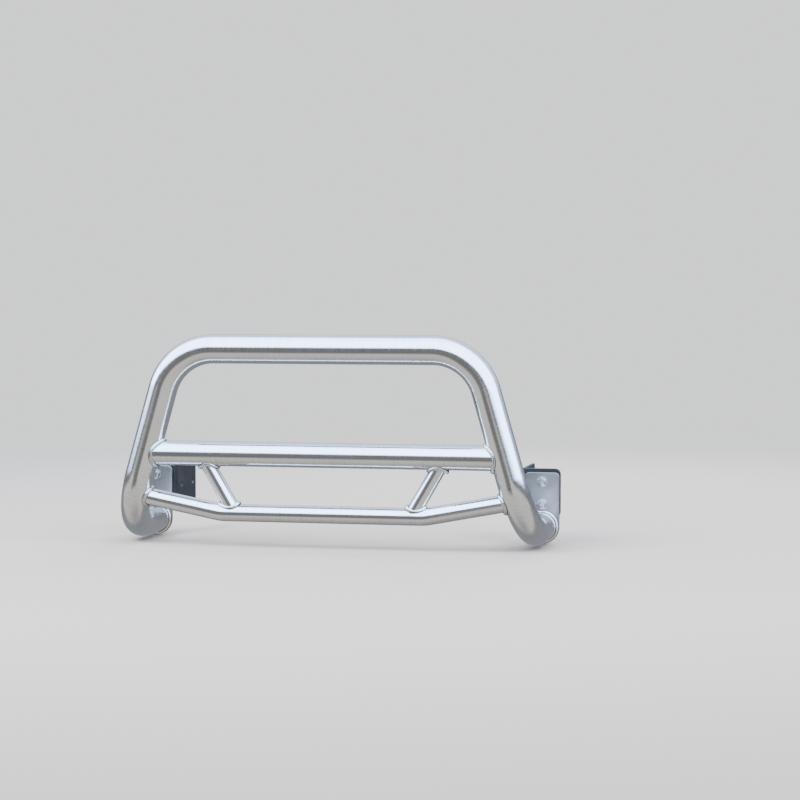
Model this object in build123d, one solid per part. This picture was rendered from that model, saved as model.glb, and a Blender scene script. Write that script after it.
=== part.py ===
from build123d import *
import os
from math import asin, cos, hypot, radians, sin

# Front grille guard: a bent hoop with two cross tubes and two struts, welded together, on plates
# that bolt through slots to two frame brackets.
# Millimetres. X runs across the vehicle, Y points to its rear, Z up. The origin is on the centre
# line, midway between the two brackets' rail holes. Left and right are as seen from in front, so
# the right side is at positive X.

# ---- Driving dimensions ----

# Main hoop
hoop_od = 63.5
hoop_wall = 2.0
top_corner_spacing = 666.0      # between the points where the leg lines meet the top bar's line
foot_spacing = 892.0            # between the feet, centre to centre
hoop_drop = 394.0               # top bar's centre line down to the feet's centre lines
foot_reach = 210.0              # plane of the legs back to the hoop's cut ends
top_bend_radius = 120.0
foot_bend_radius = 127.0

# Upper cross tube
cross_od = 54.0
cross_wall = 2.0
cross_drop = 228.0              # below the top bar, centre to centre

# Lower cross tube
lower_od = 38.1
lower_wall = 1.6
lower_rise = 38.0               # feet's centre lines up to its straight middle
lower_end_rise = 37.0           # from the middle up to where it meets the leg's centre line
lower_bend_spacing = 452.0      # between its two bends
lower_bend_radius = 110.0

# Struts
strut_od = 31.8
strut_wall = 1.5
strut_top_spacing = 540.0       # on the upper cross tube's centre line
strut_foot_spacing = 390.0      # on the lower cross tube's centre line

# Weld beads
tube_bead = 4.5                 # leg of the bead round a tube's end
plate_bead = 5.0                # leg of the bead between hoop and mounting plate

# Mounting plates
plate_side_margin = 6.25        # hoop tube out to the plate's edge
plate_thickness = 6.0
plate_top_margin = 20.0         # upper bolt up to the plate's top edge
plate_corner_radius = 10.0

# Bolted joint between mounting plate and frame bracket
bolt_diameter = 12.0
washer_to_weld = 1.25           # plate weld's toe up to the lower bolt's washer
bolt_pitch = 50.0
hole_clearance = 0.5            # radial, round a bolt in a hole or slot
bolt_length = 35.0              # under the head
height_travel = 8.0             # each way, of the bolts in the slots

# Frame brackets
bracket_thickness = 6.0
bracket_bend_radius = 8.0       # inside the bend
bracket_outboard = 40.0         # foot's centre out to the front flange's free edge
bracket_inboard = 46.0          # foot's centre in to the side flange's rail face
bracket_slot_margin = 14.0      # slot's end to the flange's edge
bracket_corner_radius = 12.0
rail_hole_diameter = 13.0
rail_hole_spacing = 80.0
rail_hole_setback = 85.0        # front flange's front face back to the middle of the rail holes
rail_edge_margin = 25.0         # rear rail hole to the side flange's rear edge

# Fasteners
hex_across_flats = 18.0
head_height = 7.5
nut_height = 10.8
hex_chamfer = 1.2
flat_washer_od = 24.0
flat_washer_thickness = 2.5
spring_washer_od = 21.0
spring_washer_thickness = 3.0
spring_washer_gap = 1.6
spring_washer_slant = 25.0      # degrees, of the split
washer_clearance = 0.4          # radial, round the bolt
thread_clearance = 0.03         # radial, nut on bolt
bolt_end_chamfer = 1.2

# ---- Places worked out from them ----

hoop_radius = hoop_od / 2
cross_radius = cross_od / 2
lower_radius = lower_od / 2
strut_radius = strut_od / 2
bolt_radius = bolt_diameter / 2
hole_radius = bolt_radius + hole_clearance

foot_x = foot_spacing / 2
top_corner_x = top_corner_spacing / 2
leg_length = hypot(foot_x - top_corner_x, hoop_drop)
leg_out = (foot_x - top_corner_x) / leg_length      # outward run of a leg for each mm down it
leg_down = hoop_drop / leg_length                   # and its drop

plate_width = hoop_od + 2 * plate_side_margin
lower_bolt_rise = hoop_radius + plate_bead + washer_to_weld + flat_washer_od / 2

lower_bolt_z = -bolt_pitch / 2                      # the rail holes are level with the bolts' middle
upper_bolt_z = bolt_pitch / 2
foot_z = lower_bolt_z - lower_bolt_rise
top_z = foot_z + hoop_drop
cross_z = top_z - cross_drop
lower_z = foot_z + lower_rise

bracket_front_y = -rail_hole_setback
plate_front_y = bracket_front_y - plate_thickness
bracket_rear_y = bracket_front_y + bracket_thickness
leg_y = plate_front_y - foot_reach

SIDES = {"left": -1, "right": 1}


def hoop_centre(z):
    """Right-hand point of the hoop's centre line at a height on its leg or foot bend."""
    bend_start_z = foot_z + foot_bend_radius * leg_down
    if z >= bend_start_z:
        return (foot_x - (z - foot_z) * leg_out / leg_down, leg_y, z)
    turned = asin((bend_start_z - z) / (foot_bend_radius * leg_down))
    out = foot_bend_radius * (1 - sin(turned)) * leg_out
    return (foot_x - out, leg_y + foot_bend_radius * (1 - cos(turned)), z)


def mirrored(point, side):
    """A right-hand point carried to the given side."""
    x, y, z = point
    return (side * x, y, z)


def both_ways(half):
    """Points of a symmetrical centre line, left end to right end, from its right half."""
    return [mirrored(point, -1) for point in half] + half[::-1]


def round_bar(path, radius):
    """Solid round bar along a path."""
    return sweep(Plane(origin=path @ 0, z_dir=path % 0) * Circle(radius), path=path)


def rod(start, end, radius):
    """Solid round bar from one point to another."""
    axis = Vector(*end) - Vector(*start)
    base = Plane(origin=start, z_dir=axis)
    return base * Cylinder(radius, axis.length, align=(Align.CENTER, Align.CENTER, Align.MIN))


def rearward_disc(radius, thickness, x, y, z):
    """Disc on an axis along Y, from its front face at y towards the rear."""
    return rod((x, y, z), (x, y + thickness, z), radius)


def save(shape, node):
    """Write a sub-part's solid, or its group of solids, under the node's name."""
    solids = shape.solids()
    export_step(solids[0] if len(solids) == 1 else Compound(children=solids), f"parts/{node}.step")


# ---- Main hoop ----

hoop_half = [(foot_x, plate_front_y, foot_z), (foot_x, leg_y, foot_z), (top_corner_x, leg_y, top_z)]
hoop_path = FilletPolyline(
    *both_ways(hoop_half),
    radius=[foot_bend_radius, top_bend_radius, top_bend_radius, foot_bend_radius],
)
hoop_outer = round_bar(hoop_path, hoop_radius)
hoop_bead_reach = round_bar(hoop_path, hoop_radius + tube_bead)
main_hoop = hoop_outer - round_bar(hoop_path, hoop_radius - hoop_wall)

# ---- Upper cross tube, coped to the legs ----

cross_end = hoop_centre(cross_z)
cross_outer = rod(mirrored(cross_end, -1), cross_end, cross_radius)
cross_bore = rod(mirrored(cross_end, -1), cross_end, cross_radius - cross_wall)
cross_bead_reach = rod(mirrored(cross_end, -1), cross_end, cross_radius + tube_bead)
upper_cross_tube = cross_outer - cross_bore - hoop_outer

# ---- Lower cross tube, bent up at its ends and coped to the feet ----

lower_bend = (lower_bend_spacing / 2, leg_y, lower_z)
lower_end = hoop_centre(lower_z + lower_end_rise)
lower_path = FilletPolyline(*both_ways([lower_end, lower_bend]), radius=lower_bend_radius)
lower_outer = round_bar(lower_path, lower_radius)
lower_bore = round_bar(lower_path, lower_radius - lower_wall)
lower_bead_reach = round_bar(lower_path, lower_radius + tube_bead)
lower_cross_tube = lower_outer - lower_bore - hoop_outer


def saddle_bead(end, towards, radius, carrier, carrier_bead_reach):
    """Bead round a tube's coped end: a collar one bead thick, kept only just outside its carrier."""
    start = Vector(*end)
    beyond_bead = start + (Vector(*towards) - start).normalized() * hoop_od
    collar = rod(start, beyond_bead, radius + tube_bead) - rod(start, beyond_bead, radius)
    return (collar & carrier_bead_reach) - carrier


def mounting_plate(side):
    """Upright plate closing a hoop end: round below the foot, two bolt holes above it."""
    x = side * foot_x
    half_width = plate_width / 2
    top = upper_bolt_z + plate_top_margin
    face = Plane(origin=(x, plate_front_y, 0), x_dir=(1, 0, 0), z_dir=(0, -1, 0))
    blank = Pos(0, (top + foot_z) / 2) * Rectangle(plate_width, top - foot_z)
    blank = fillet(blank.vertices().group_by(Axis.Y)[-1], plate_corner_radius)
    outline = blank + Pos(0, foot_z) * Circle(half_width)
    for bolt_z in (lower_bolt_z, upper_bolt_z):
        outline -= Pos(0, bolt_z) * Circle(hole_radius)
    return extrude(face * outline, -plate_thickness)


def plate_weld(side):
    """Fillet weld between a hoop end and its mounting plate."""
    base = Plane(origin=(side * foot_x, plate_front_y, foot_z), z_dir=(0, -1, 0))
    low = (Align.CENTER, Align.CENTER, Align.MIN)
    cone = base * Cone(hoop_radius + plate_bead, hoop_radius, plate_bead, align=low)
    return cone - hoop_outer


def frame_bracket(side):
    """Bent steel angle: slotted front flange for the guard, drilled side flange for the rail."""
    slot_length = bolt_diameter + 2 * (hole_clearance + height_travel)
    height = bolt_pitch + slot_length + 2 * bracket_slot_margin
    rear_y = rail_hole_spacing / 2 + rail_edge_margin
    free_x = foot_x + bracket_outboard
    rail_x = foot_x - bracket_inboard
    web_x = rail_x + bracket_thickness
    section = Polyline(
        (free_x, bracket_front_y),
        (rail_x, bracket_front_y),
        (rail_x, rear_y),
        (web_x, rear_y),
        (web_x, bracket_rear_y),
        (free_x, bracket_rear_y),
        close=True,
    )
    section = make_face(section)
    outer_bend = section.vertices().sort_by_distance((rail_x, bracket_front_y))[0]
    section = fillet(outer_bend, bracket_bend_radius + bracket_thickness)
    inner_bend = section.vertices().sort_by_distance((web_x, bracket_rear_y))[0]
    section = fillet(inner_bend, bracket_bend_radius)
    angle = extrude(section, height / 2, both=True)
    rear_corners = angle.edges().filter_by(Axis.X).group_by(Axis.Y)[-1]
    free_corners = angle.edges().filter_by(Axis.Y).group_by(Axis.X)[-1]
    angle = fillet(rear_corners + free_corners, bracket_corner_radius)
    for bolt_z in (lower_bolt_z, upper_bolt_z):
        slot = Plane(origin=(foot_x, bracket_front_y, bolt_z), z_dir=(0, 1, 0), x_dir=(0, 0, 1))
        angle -= extrude(slot * SlotOverall(slot_length, 2 * hole_radius), bracket_thickness)
    for hole_y in (-rail_hole_spacing / 2, rail_hole_spacing / 2):
        angle -= rod((rail_x, hole_y, 0), (web_x, hole_y, 0), rail_hole_diameter / 2)
    return angle if side > 0 else mirror(angle, about=Plane.YZ)


def hexagon(height):
    """Hexagonal prism on the XY plane, its corners chamfered on the upper side."""
    prism = extrude(RegularPolygon(hex_across_flats / 2, 6, major_radius=False), height)
    corner = hex_across_flats / 2 / cos(radians(30))
    low = (Align.CENTER, Align.CENTER, Align.MIN)
    turned = Cylinder(corner, height, align=low)
    return prism & chamfer(turned.edges().group_by(Axis.Z)[-1], hex_chamfer)


def washer(od, thickness, x, y, z):
    """Flat ring round a bolt, its front face at y."""
    bore = bolt_radius + washer_clearance
    return rearward_disc(od / 2, thickness, x, y, z) - rearward_disc(bore, thickness, x, y, z)


def hex_bolt(x, z):
    """Hexagon bolt with its head in front of the mounting plate and its shank to the rear."""
    seat_y = plate_front_y - flat_washer_thickness
    head = Plane(origin=(x, seat_y, z), x_dir=(1, 0, 0), z_dir=(0, -1, 0)) * hexagon(head_height)
    shank = rearward_disc(bolt_radius, bolt_length, x, seat_y, z)
    shank = chamfer(shank.edges().group_by(Axis.Y)[-1], bolt_end_chamfer)
    return head + shank


def spring_washer(x, z):
    """Split ring between the rear flat washer and the nut."""
    y = bracket_rear_y + flat_washer_thickness
    ring = washer(spring_washer_od, spring_washer_thickness, x, y, z)
    split_at = Pos(x, y + spring_washer_thickness / 2, z + spring_washer_od / 2)
    cutter = Box(spring_washer_gap, spring_washer_od, spring_washer_od)
    return ring - split_at * Rot(0, 0, spring_washer_slant) * cutter


def hex_nut(x, z):
    """Hexagon nut on the rear end of a bolt."""
    y = bracket_rear_y + flat_washer_thickness + spring_washer_thickness
    body = Plane(origin=(x, y, z), x_dir=(1, 0, 0), z_dir=(0, 1, 0)) * hexagon(nut_height)
    return body - rearward_disc(bolt_radius + thread_clearance, nut_height, x, y, z)


def front_washer(x, z):
    """Flat washer between a bolt's head and the mounting plate."""
    return washer(flat_washer_od, flat_washer_thickness, x, plate_front_y - flat_washer_thickness, z)


def rear_washer(x, z):
    """Flat washer that bridges the bracket's slot."""
    return washer(flat_washer_od, flat_washer_thickness, x, bracket_rear_y, z)


def pair(make, side):
    """One side's two fasteners as a group of separate solids."""
    return Compound(children=[make(side * foot_x, z).solid() for z in (lower_bolt_z, upper_bolt_z)])


FASTENERS = {
    "hex_bolts": hex_bolt,
    "front_washers": front_washer,
    "rear_washers": rear_washer,
    "spring_washers": spring_washer,
    "hex_nuts": hex_nut,
}


os.makedirs("parts", exist_ok=True)
save(main_hoop, "main_hoop")
save(upper_cross_tube, "upper_cross_tube")
save(lower_cross_tube, "lower_cross_tube")

for name, side in SIDES.items():
    cross_joint = mirrored(cross_end, side)
    lower_joint = mirrored(lower_end, side)
    middle = (0, leg_y, cross_z)
    weld = saddle_bead(cross_joint, middle, cross_radius, hoop_outer, hoop_bead_reach)
    save(weld, f"{name}_upper_cross_weld")
    weld = saddle_bead(lower_joint, mirrored(lower_bend, side), lower_radius, hoop_outer, hoop_bead_reach)
    save(weld, f"{name}_lower_cross_weld")

    strut_top = (side * strut_top_spacing / 2, leg_y, cross_z)
    strut_foot = (side * strut_foot_spacing / 2, leg_y, lower_z)
    strut_bore = rod(strut_top, strut_foot, strut_radius - strut_wall)
    strut = rod(strut_top, strut_foot, strut_radius) - strut_bore - cross_outer - lower_outer
    save(strut, f"{name}_strut")
    weld = saddle_bead(strut_top, strut_foot, strut_radius, cross_outer, cross_bead_reach)
    save(weld, f"{name}_strut_top_weld")
    weld = saddle_bead(strut_foot, strut_top, strut_radius, lower_outer, lower_bead_reach)
    save(weld, f"{name}_strut_foot_weld")

    save(mounting_plate(side), f"{name}_mounting_plate")
    save(plate_weld(side), f"{name}_plate_weld")
    save(frame_bracket(side), f"{name}_frame_bracket")
    for node, make in FASTENERS.items():
        save(pair(make, side), f"{name}_{node}")
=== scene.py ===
"""Visible model of a tubular front grille guard on its two frame brackets, with studio and camera.

Metres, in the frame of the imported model: X to the right as seen from in front, Y to the vehicle's
rear, Z up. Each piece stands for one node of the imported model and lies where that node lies.
"""

import logging
import math
from collections.abc import Callable
from dataclasses import dataclass, field
from enum import Enum
from typing import ClassVar

import bmesh
import bpy
import numpy as np
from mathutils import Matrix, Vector


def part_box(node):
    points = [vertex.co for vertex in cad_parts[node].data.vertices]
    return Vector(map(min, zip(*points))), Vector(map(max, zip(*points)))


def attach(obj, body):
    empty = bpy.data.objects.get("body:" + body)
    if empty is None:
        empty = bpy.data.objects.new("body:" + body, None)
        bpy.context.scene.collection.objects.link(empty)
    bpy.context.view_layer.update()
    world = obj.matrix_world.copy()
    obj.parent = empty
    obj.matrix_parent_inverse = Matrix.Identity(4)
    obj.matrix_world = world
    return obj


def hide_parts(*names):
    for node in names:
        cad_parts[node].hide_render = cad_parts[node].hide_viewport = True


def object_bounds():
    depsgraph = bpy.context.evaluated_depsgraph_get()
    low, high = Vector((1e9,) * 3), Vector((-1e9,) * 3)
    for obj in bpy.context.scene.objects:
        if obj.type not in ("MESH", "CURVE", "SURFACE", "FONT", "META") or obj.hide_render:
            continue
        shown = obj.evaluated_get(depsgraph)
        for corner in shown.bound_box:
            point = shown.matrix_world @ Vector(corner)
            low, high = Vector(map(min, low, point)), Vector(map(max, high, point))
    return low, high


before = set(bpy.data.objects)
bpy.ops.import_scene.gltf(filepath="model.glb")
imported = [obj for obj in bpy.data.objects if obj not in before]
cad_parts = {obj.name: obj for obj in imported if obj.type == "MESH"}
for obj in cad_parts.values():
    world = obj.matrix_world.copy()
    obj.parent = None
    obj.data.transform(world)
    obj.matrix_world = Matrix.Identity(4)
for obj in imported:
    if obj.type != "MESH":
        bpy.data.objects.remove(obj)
packed_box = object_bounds()

log = logging.getLogger("grille_guard")

Array = np.ndarray
Colour = tuple[float, float, float]
Point = tuple[float, float, float]
Reach = tuple[float, float]
Side = Callable[[float], Array]
Placement = Callable[[Array, Array, Array], Array]

MM = 0.001
TURN = 2 * np.pi
SUNK = 0.2 * MM          # how far a tube's end or a weld's toe is let into the surface that it meets
FRONT = np.array([0.0, -1.0, 0.0])
REAR = np.array([0.0, 1.0, 0.0])
ACROSS = np.array([1.0, 0.0, 0.0])
UP = np.array([0.0, 0.0, 1.0])


class Body(Enum):
    """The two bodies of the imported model."""

    GUARD = "guard"
    BRACKETS = "frame_brackets"


class Slot(Enum):
    """The record's material slots."""

    TUBE = "polished_stainless_tube"
    WELD = "weld_bead"
    PLATE = "satin_stainless_plate"
    COATING = "black_coating"
    FASTENER = "plated_fastener"


class Hand(Enum):
    """The two sides as seen from in front; the value is the sign of X."""

    LEFT = -1
    RIGHT = 1

    def node(self, name: str) -> str:
        """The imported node's name on this side."""
        return f"{self.name.lower()}_{name}"


# ---- Vectors ----


def unit(vectors: Array) -> Array:
    """Vectors scaled to length one."""
    return vectors / np.linalg.norm(vectors, axis=-1, keepdims=True)


def turned(vector: Array, axis: Array, angle: Array) -> Array:
    """A vector turned about a unit axis: v cos a + (k x v) sin a + k (k . v)(1 - cos a).

    Args:
        vector: the vector to turn.
        axis: the unit axis k.
        angle: angles in radians, of any shape.

    Returns:
        One turned vector for each angle.
    """
    cosine = np.cos(angle)[..., None]
    sine = np.sin(angle)[..., None]
    along = np.dot(axis, vector) * axis
    return vector * cosine + np.cross(axis, vector) * sine + along * (1 - cosine)


def wave(phase: Array, seed: int, terms: int = 5) -> Array:
    """Smooth closed unevenness between about -1 and 1: a sum of sines of whole multiples of phase.

    Args:
        phase: angle in radians; the result repeats every whole turn.
        seed: picks the sines' offsets, so each piece has its own and keeps it.
        terms: how many sines are added, from slow to fast.

    Returns:
        The unevenness, of the same shape as phase.
    """
    offsets = np.random.default_rng(seed).uniform(0, TURN, terms)
    orders = np.arange(2, terms + 2)
    waves = np.sin(phase[..., None] * orders + offsets) / np.sqrt(orders)
    return waves.sum(-1) / np.sqrt(1 / orders).sum()


# ---- Centre lines and tubes ----


@dataclass(frozen=True)
class Span:
    """One straight run, or one arc, of a centre line."""

    start: float
    length: float
    origin: Array
    tangent: Array
    normal: Array
    axis: Array | None = None
    radius: float = 0.0

    @property
    def hub(self) -> Array:
        """Centre of an arc."""
        return self.origin + self.radius * np.cross(self.axis, self.tangent)

    def at(self, distance: Array) -> tuple[Array, Array, Array]:
        """Centre, tangent and normal: along the run, or turned round the arc's axis.

        Args:
            distance: distance along the whole centre line.

        Returns:
            Centre, tangent and normal for each distance.
        """
        local = distance - self.start
        if self.axis is None:
            centre = self.origin + local[..., None] * self.tangent
            flat = np.ones(local.shape + (1,))
            return centre, flat * self.tangent, flat * self.normal
        angle = local / self.radius
        centre = self.hub + turned(self.origin - self.hub, self.axis, angle)
        return centre, turned(self.tangent, self.axis, angle), turned(self.normal, self.axis, angle)

    def nearest(self, points: Array) -> Array:
        """Nearest point of the span: the foot on the run, or the foot's bearing on the arc.

        Args:
            points: any number of points.

        Returns:
            One point of the span for each.
        """
        if self.axis is None:
            local = np.clip((points - self.origin) @ self.tangent, 0, self.length)
            return self.origin + local[..., None] * self.tangent
        spoke = unit(self.origin - self.hub)
        offset = points - self.hub
        bearing = np.arctan2(offset @ self.tangent, offset @ spoke)
        return self.at(self.start + self.radius * np.clip(bearing, 0, self.length / self.radius))[0]


@dataclass
class CentreLine:
    """Straight runs between corners, with an arc tangent to both runs at each inner corner.

    Fields:
        corners: the corner points, first end to last end.
        radii: one bend radius for each inner corner.
        normal: a direction square to the first run, carried along without twist.
    """

    corners: Array
    radii: list[float]
    normal: Array
    spans: list[Span] = field(default_factory=list)

    def __post_init__(self) -> None:
        """Lay the runs and arcs end to end."""
        corners = np.asarray(self.corners, float)
        headings = unit(np.diff(corners, axis=0))
        origin = corners[0]
        normal = self.normal
        distance = 0.0
        for i, heading in enumerate(headings):
            bends = i < len(self.radii)
            turn = math.acos(np.clip(heading @ headings[i + 1], -1, 1)) if bends else 0.0
            setback = self.radii[i] * math.tan(turn / 2) if bends else 0.0
            run = float((corners[i + 1] - origin) @ heading) - setback
            self.spans.append(Span(distance, run, origin, heading, normal))
            distance += run
            if bends:
                origin = origin + run * heading
                axis = unit(np.cross(heading, headings[i + 1]))
                arc = Span(distance, turn * self.radii[i], origin, heading, normal, axis, self.radii[i])
                self.spans.append(arc)
                distance += arc.length
                origin, _, normal = (v[0] for v in arc.at(np.array([distance])))

    @property
    def length(self) -> float:
        """Whole length."""
        return self.spans[-1].start + self.spans[-1].length

    def at(self, distance: Array) -> tuple[Array, Array, Array]:
        """Centre, tangent and normal, each taken from the span that the distance falls in.

        Args:
            distance: distances along the centre line, of any shape.

        Returns:
            Centre, tangent and normal for each distance.
        """
        result = [part.copy() for part in self.spans[0].at(distance)]
        for span in self.spans[1:]:
            here = (distance >= span.start)[..., None]
            for part, new in zip(result, span.at(distance), strict=True):
                np.copyto(part, new, where=here)
        return result[0], result[1], result[2]

    def nearest(self, points: Array) -> Array:
        """Nearest centre point to each point: the closest of the spans' nearest points.

        Args:
            points: any number of points.

        Returns:
            One point of the centre line for each.
        """
        feet = np.stack([span.nearest(points) for span in self.spans])
        best = np.linalg.norm(feet - points, axis=-1).argmin(0)
        return np.take_along_axis(feet, best[None, ..., None], 0)[0]

    def stations(self, straight: float, bend: float) -> Array:
        """Distances along the line, one step size on runs and another on arcs.

        Args:
            straight: longest step on a run.
            bend: longest step on an arc.

        Returns:
            The distances, first end to last end.
        """
        parts = []
        for span in self.spans:
            step = straight if span.axis is None else bend
            count = max(2, math.ceil(span.length / step))
            parts.append(span.start + span.length * np.arange(count) / count)
        return np.concatenate([*parts, [self.length]])


@dataclass
class Tube:
    """A round tube on a centre line.

    Fields:
        line: its centre line.
        radius: its outer radius.
        wall: its wall's thickness.
        facets: how many steps go round its mesh.
        step: length of one step along its mesh.
    """

    line: CentreLine
    radius: float
    wall: float
    facets: int
    step: float

    HALVINGS = 32
    SEARCH = 3.0

    @property
    def bore(self) -> float:
        """Radius of the bore."""
        return self.radius - self.wall

    def turn(self) -> Array:
        """The mesh's angles round the tube, closed."""
        return np.linspace(0, TURN, self.facets + 1)

    def skin(self, distance: Array, angle: Array, radius: float | Array) -> Array:
        """Surface point: centre + radius (cos angle normal + sin angle binormal).

        Args:
            distance: along the centre line.
            angle: round the tube, from the normal.
            radius: from the centre line.

        Returns:
            Points of the arrays' common shape.
        """
        centre, tangent, normal = self.line.at(distance)
        binormal = np.cross(tangent, normal)
        spoke = normal * np.cos(angle)[..., None] + binormal * np.sin(angle)[..., None]
        return centre + np.asarray(radius)[..., None] * spoke

    def seat(self, carrier: "Tube", last: bool, angle: Array, radius: float) -> Array:
        """Distance at which each lengthwise line of the tube dives into its carrier.

        The line is halved again and again between a point inside the carrier and one outside it,
        which starts SEARCH carrier radii along the line.

        Args:
            carrier: the tube that this one is coped to.
            last: whether it is the last end, else the first.
            angle: the lines' angles round the tube.
            radius: the lines' distance from the centre line.

        Returns:
            One distance along the centre line for each angle.
        """
        end = self.line.length if last else 0.0
        away = -1.0 if last else 1.0
        inside = np.full(angle.shape, end)
        outside = inside + away * self.SEARCH * carrier.radius
        for _ in range(self.HALVINGS):
            middle = (inside + outside) / 2
            points = self.skin(middle, angle, radius)
            depth = np.linalg.norm(points - carrier.line.nearest(points), axis=-1)
            within = depth < carrier.radius - SUNK
            inside = np.where(within, middle, inside)
            outside = np.where(within, outside, middle)
        return (inside + outside) / 2


# ---- Meshes ----


class Workpiece:
    """Gathers surface grids and turns them into one closed mesh object.

    Points of neighbouring grids that coincide become one, which closes seams and poles: they are
    rounded to steps of MERGE, shifted by part of a step so that round sizes don't fall between two.
    """

    MERGE = 1e-6
    MERGE_SHIFT = 0.37

    def __init__(self, name: str) -> None:
        """Start an empty piece with the name that its object will have."""
        self.name = name
        self.count = 0
        self.points: list[Array] = []
        self.quads: list[Array] = []
        self.uvs: list[Array] = []
        self.marks: dict[str, list[Array]] = {}

    def add(self, grid: Array, uv: Array | None = None, **marks: Array) -> None:
        """Add a grid of points, rows by columns by three.

        Args:
            grid: the points.
            uv: rows by columns by two, in metres over the surface; flat zero if left out.
            marks: values from 0 to 1 at each point, which a finish reads by name.
        """
        rows, columns = grid.shape[:2]
        index = self.count + np.arange(rows * columns).reshape(rows, columns)
        corners = [index[:-1, :-1], index[:-1, 1:], index[1:, 1:], index[1:, :-1]]
        self.quads.append(np.stack(corners, -1).reshape(-1, 4))
        self.points.append(grid.reshape(-1, 3))
        self.uvs.append(np.zeros((rows * columns, 2)) if uv is None else uv.reshape(-1, 2))
        for name, values in marks.items():
            before = self.marks.setdefault(name, [])
            before.extend([np.zeros(self.count)] if not before and self.count else [])
            before.append(np.broadcast_to(values, (rows, columns)).ravel())
        self.count += rows * columns
        for name, before in self.marks.items():
            missing = self.count - sum(map(len, before))
            before.extend([np.zeros(missing)] if missing else [])

    def mesh(self) -> bpy.types.Mesh:
        """One mesh: coincident points joined, collapsed quads made triangles, normals outward.

        Returns:
            The mesh, with its UV map and marks.
        """
        points = np.concatenate(self.points)
        quads = np.concatenate(self.quads)
        keys = np.round(points / self.MERGE + self.MERGE_SHIFT).astype(np.int64)
        _, first, same = np.unique(keys, axis=0, return_index=True, return_inverse=True)
        welded = same.reshape(-1)[quads]
        kept = welded != np.roll(welded, 1, axis=1)
        sizes = kept.sum(1)
        sound = sizes >= 3
        kept &= sound[:, None]
        loops = welded[kept]
        sizes = sizes[sound]
        mesh = bpy.data.meshes.new(self.name)
        mesh.vertices.add(len(first))
        mesh.vertices.foreach_set("co", points[first].astype(np.float32).ravel())
        mesh.loops.add(len(loops))
        mesh.loops.foreach_set("vertex_index", loops.astype(np.int32))
        mesh.polygons.add(len(sizes))
        starts = np.concatenate([[0], np.cumsum(sizes)[:-1]])
        mesh.polygons.foreach_set("loop_start", starts.astype(np.int32))
        mesh.update(calc_edges=True)
        layer = mesh.uv_layers.new(name="surface")
        layer.data.foreach_set("uv", np.concatenate(self.uvs)[quads[kept]].astype(np.float32).ravel())
        for name, values in self.marks.items():
            attribute = mesh.attributes.new(name, "FLOAT", "POINT")
            attribute.data.foreach_set("value", np.concatenate(values)[first].astype(np.float32))
        shell = bmesh.new()
        shell.from_mesh(mesh)
        bmesh.ops.recalc_face_normals(shell, faces=shell.faces)
        open_edges = sum(not edge.is_manifold for edge in shell.edges)
        if open_edges:
            log.warning("%s has %d open edges", self.name, open_edges)
        shell.to_mesh(mesh)
        shell.free()
        mesh.polygons.foreach_set("use_smooth", np.ones(len(mesh.polygons), bool))
        return mesh

    def place(self, node: str, body: Body, slot: Slot, finish: "Finish", crease: float = 35.0) -> None:
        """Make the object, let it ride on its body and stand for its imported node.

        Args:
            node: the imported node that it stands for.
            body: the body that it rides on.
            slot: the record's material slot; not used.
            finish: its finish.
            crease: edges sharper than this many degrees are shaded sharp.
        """
        mesh = self.mesh()
        mesh.set_sharp_from_angle(angle=math.radians(crease))
        mesh.materials.append(finish.material)
        piece = bpy.data.objects.new(self.name, mesh)
        bpy.context.scene.collection.objects.link(piece)
        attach(piece, body.value)
        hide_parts(node)
        log.info("%s: %d faces", self.name, len(mesh.polygons))


def between(first: Array, last: Array, steps: int) -> Array:
    """Grid of straight lines from each first point to its last point."""
    share = np.linspace(0, 1, steps + 1)[:, None, None]
    return first * (1 - share) + last * share


# ---- Material graphs ----


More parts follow.
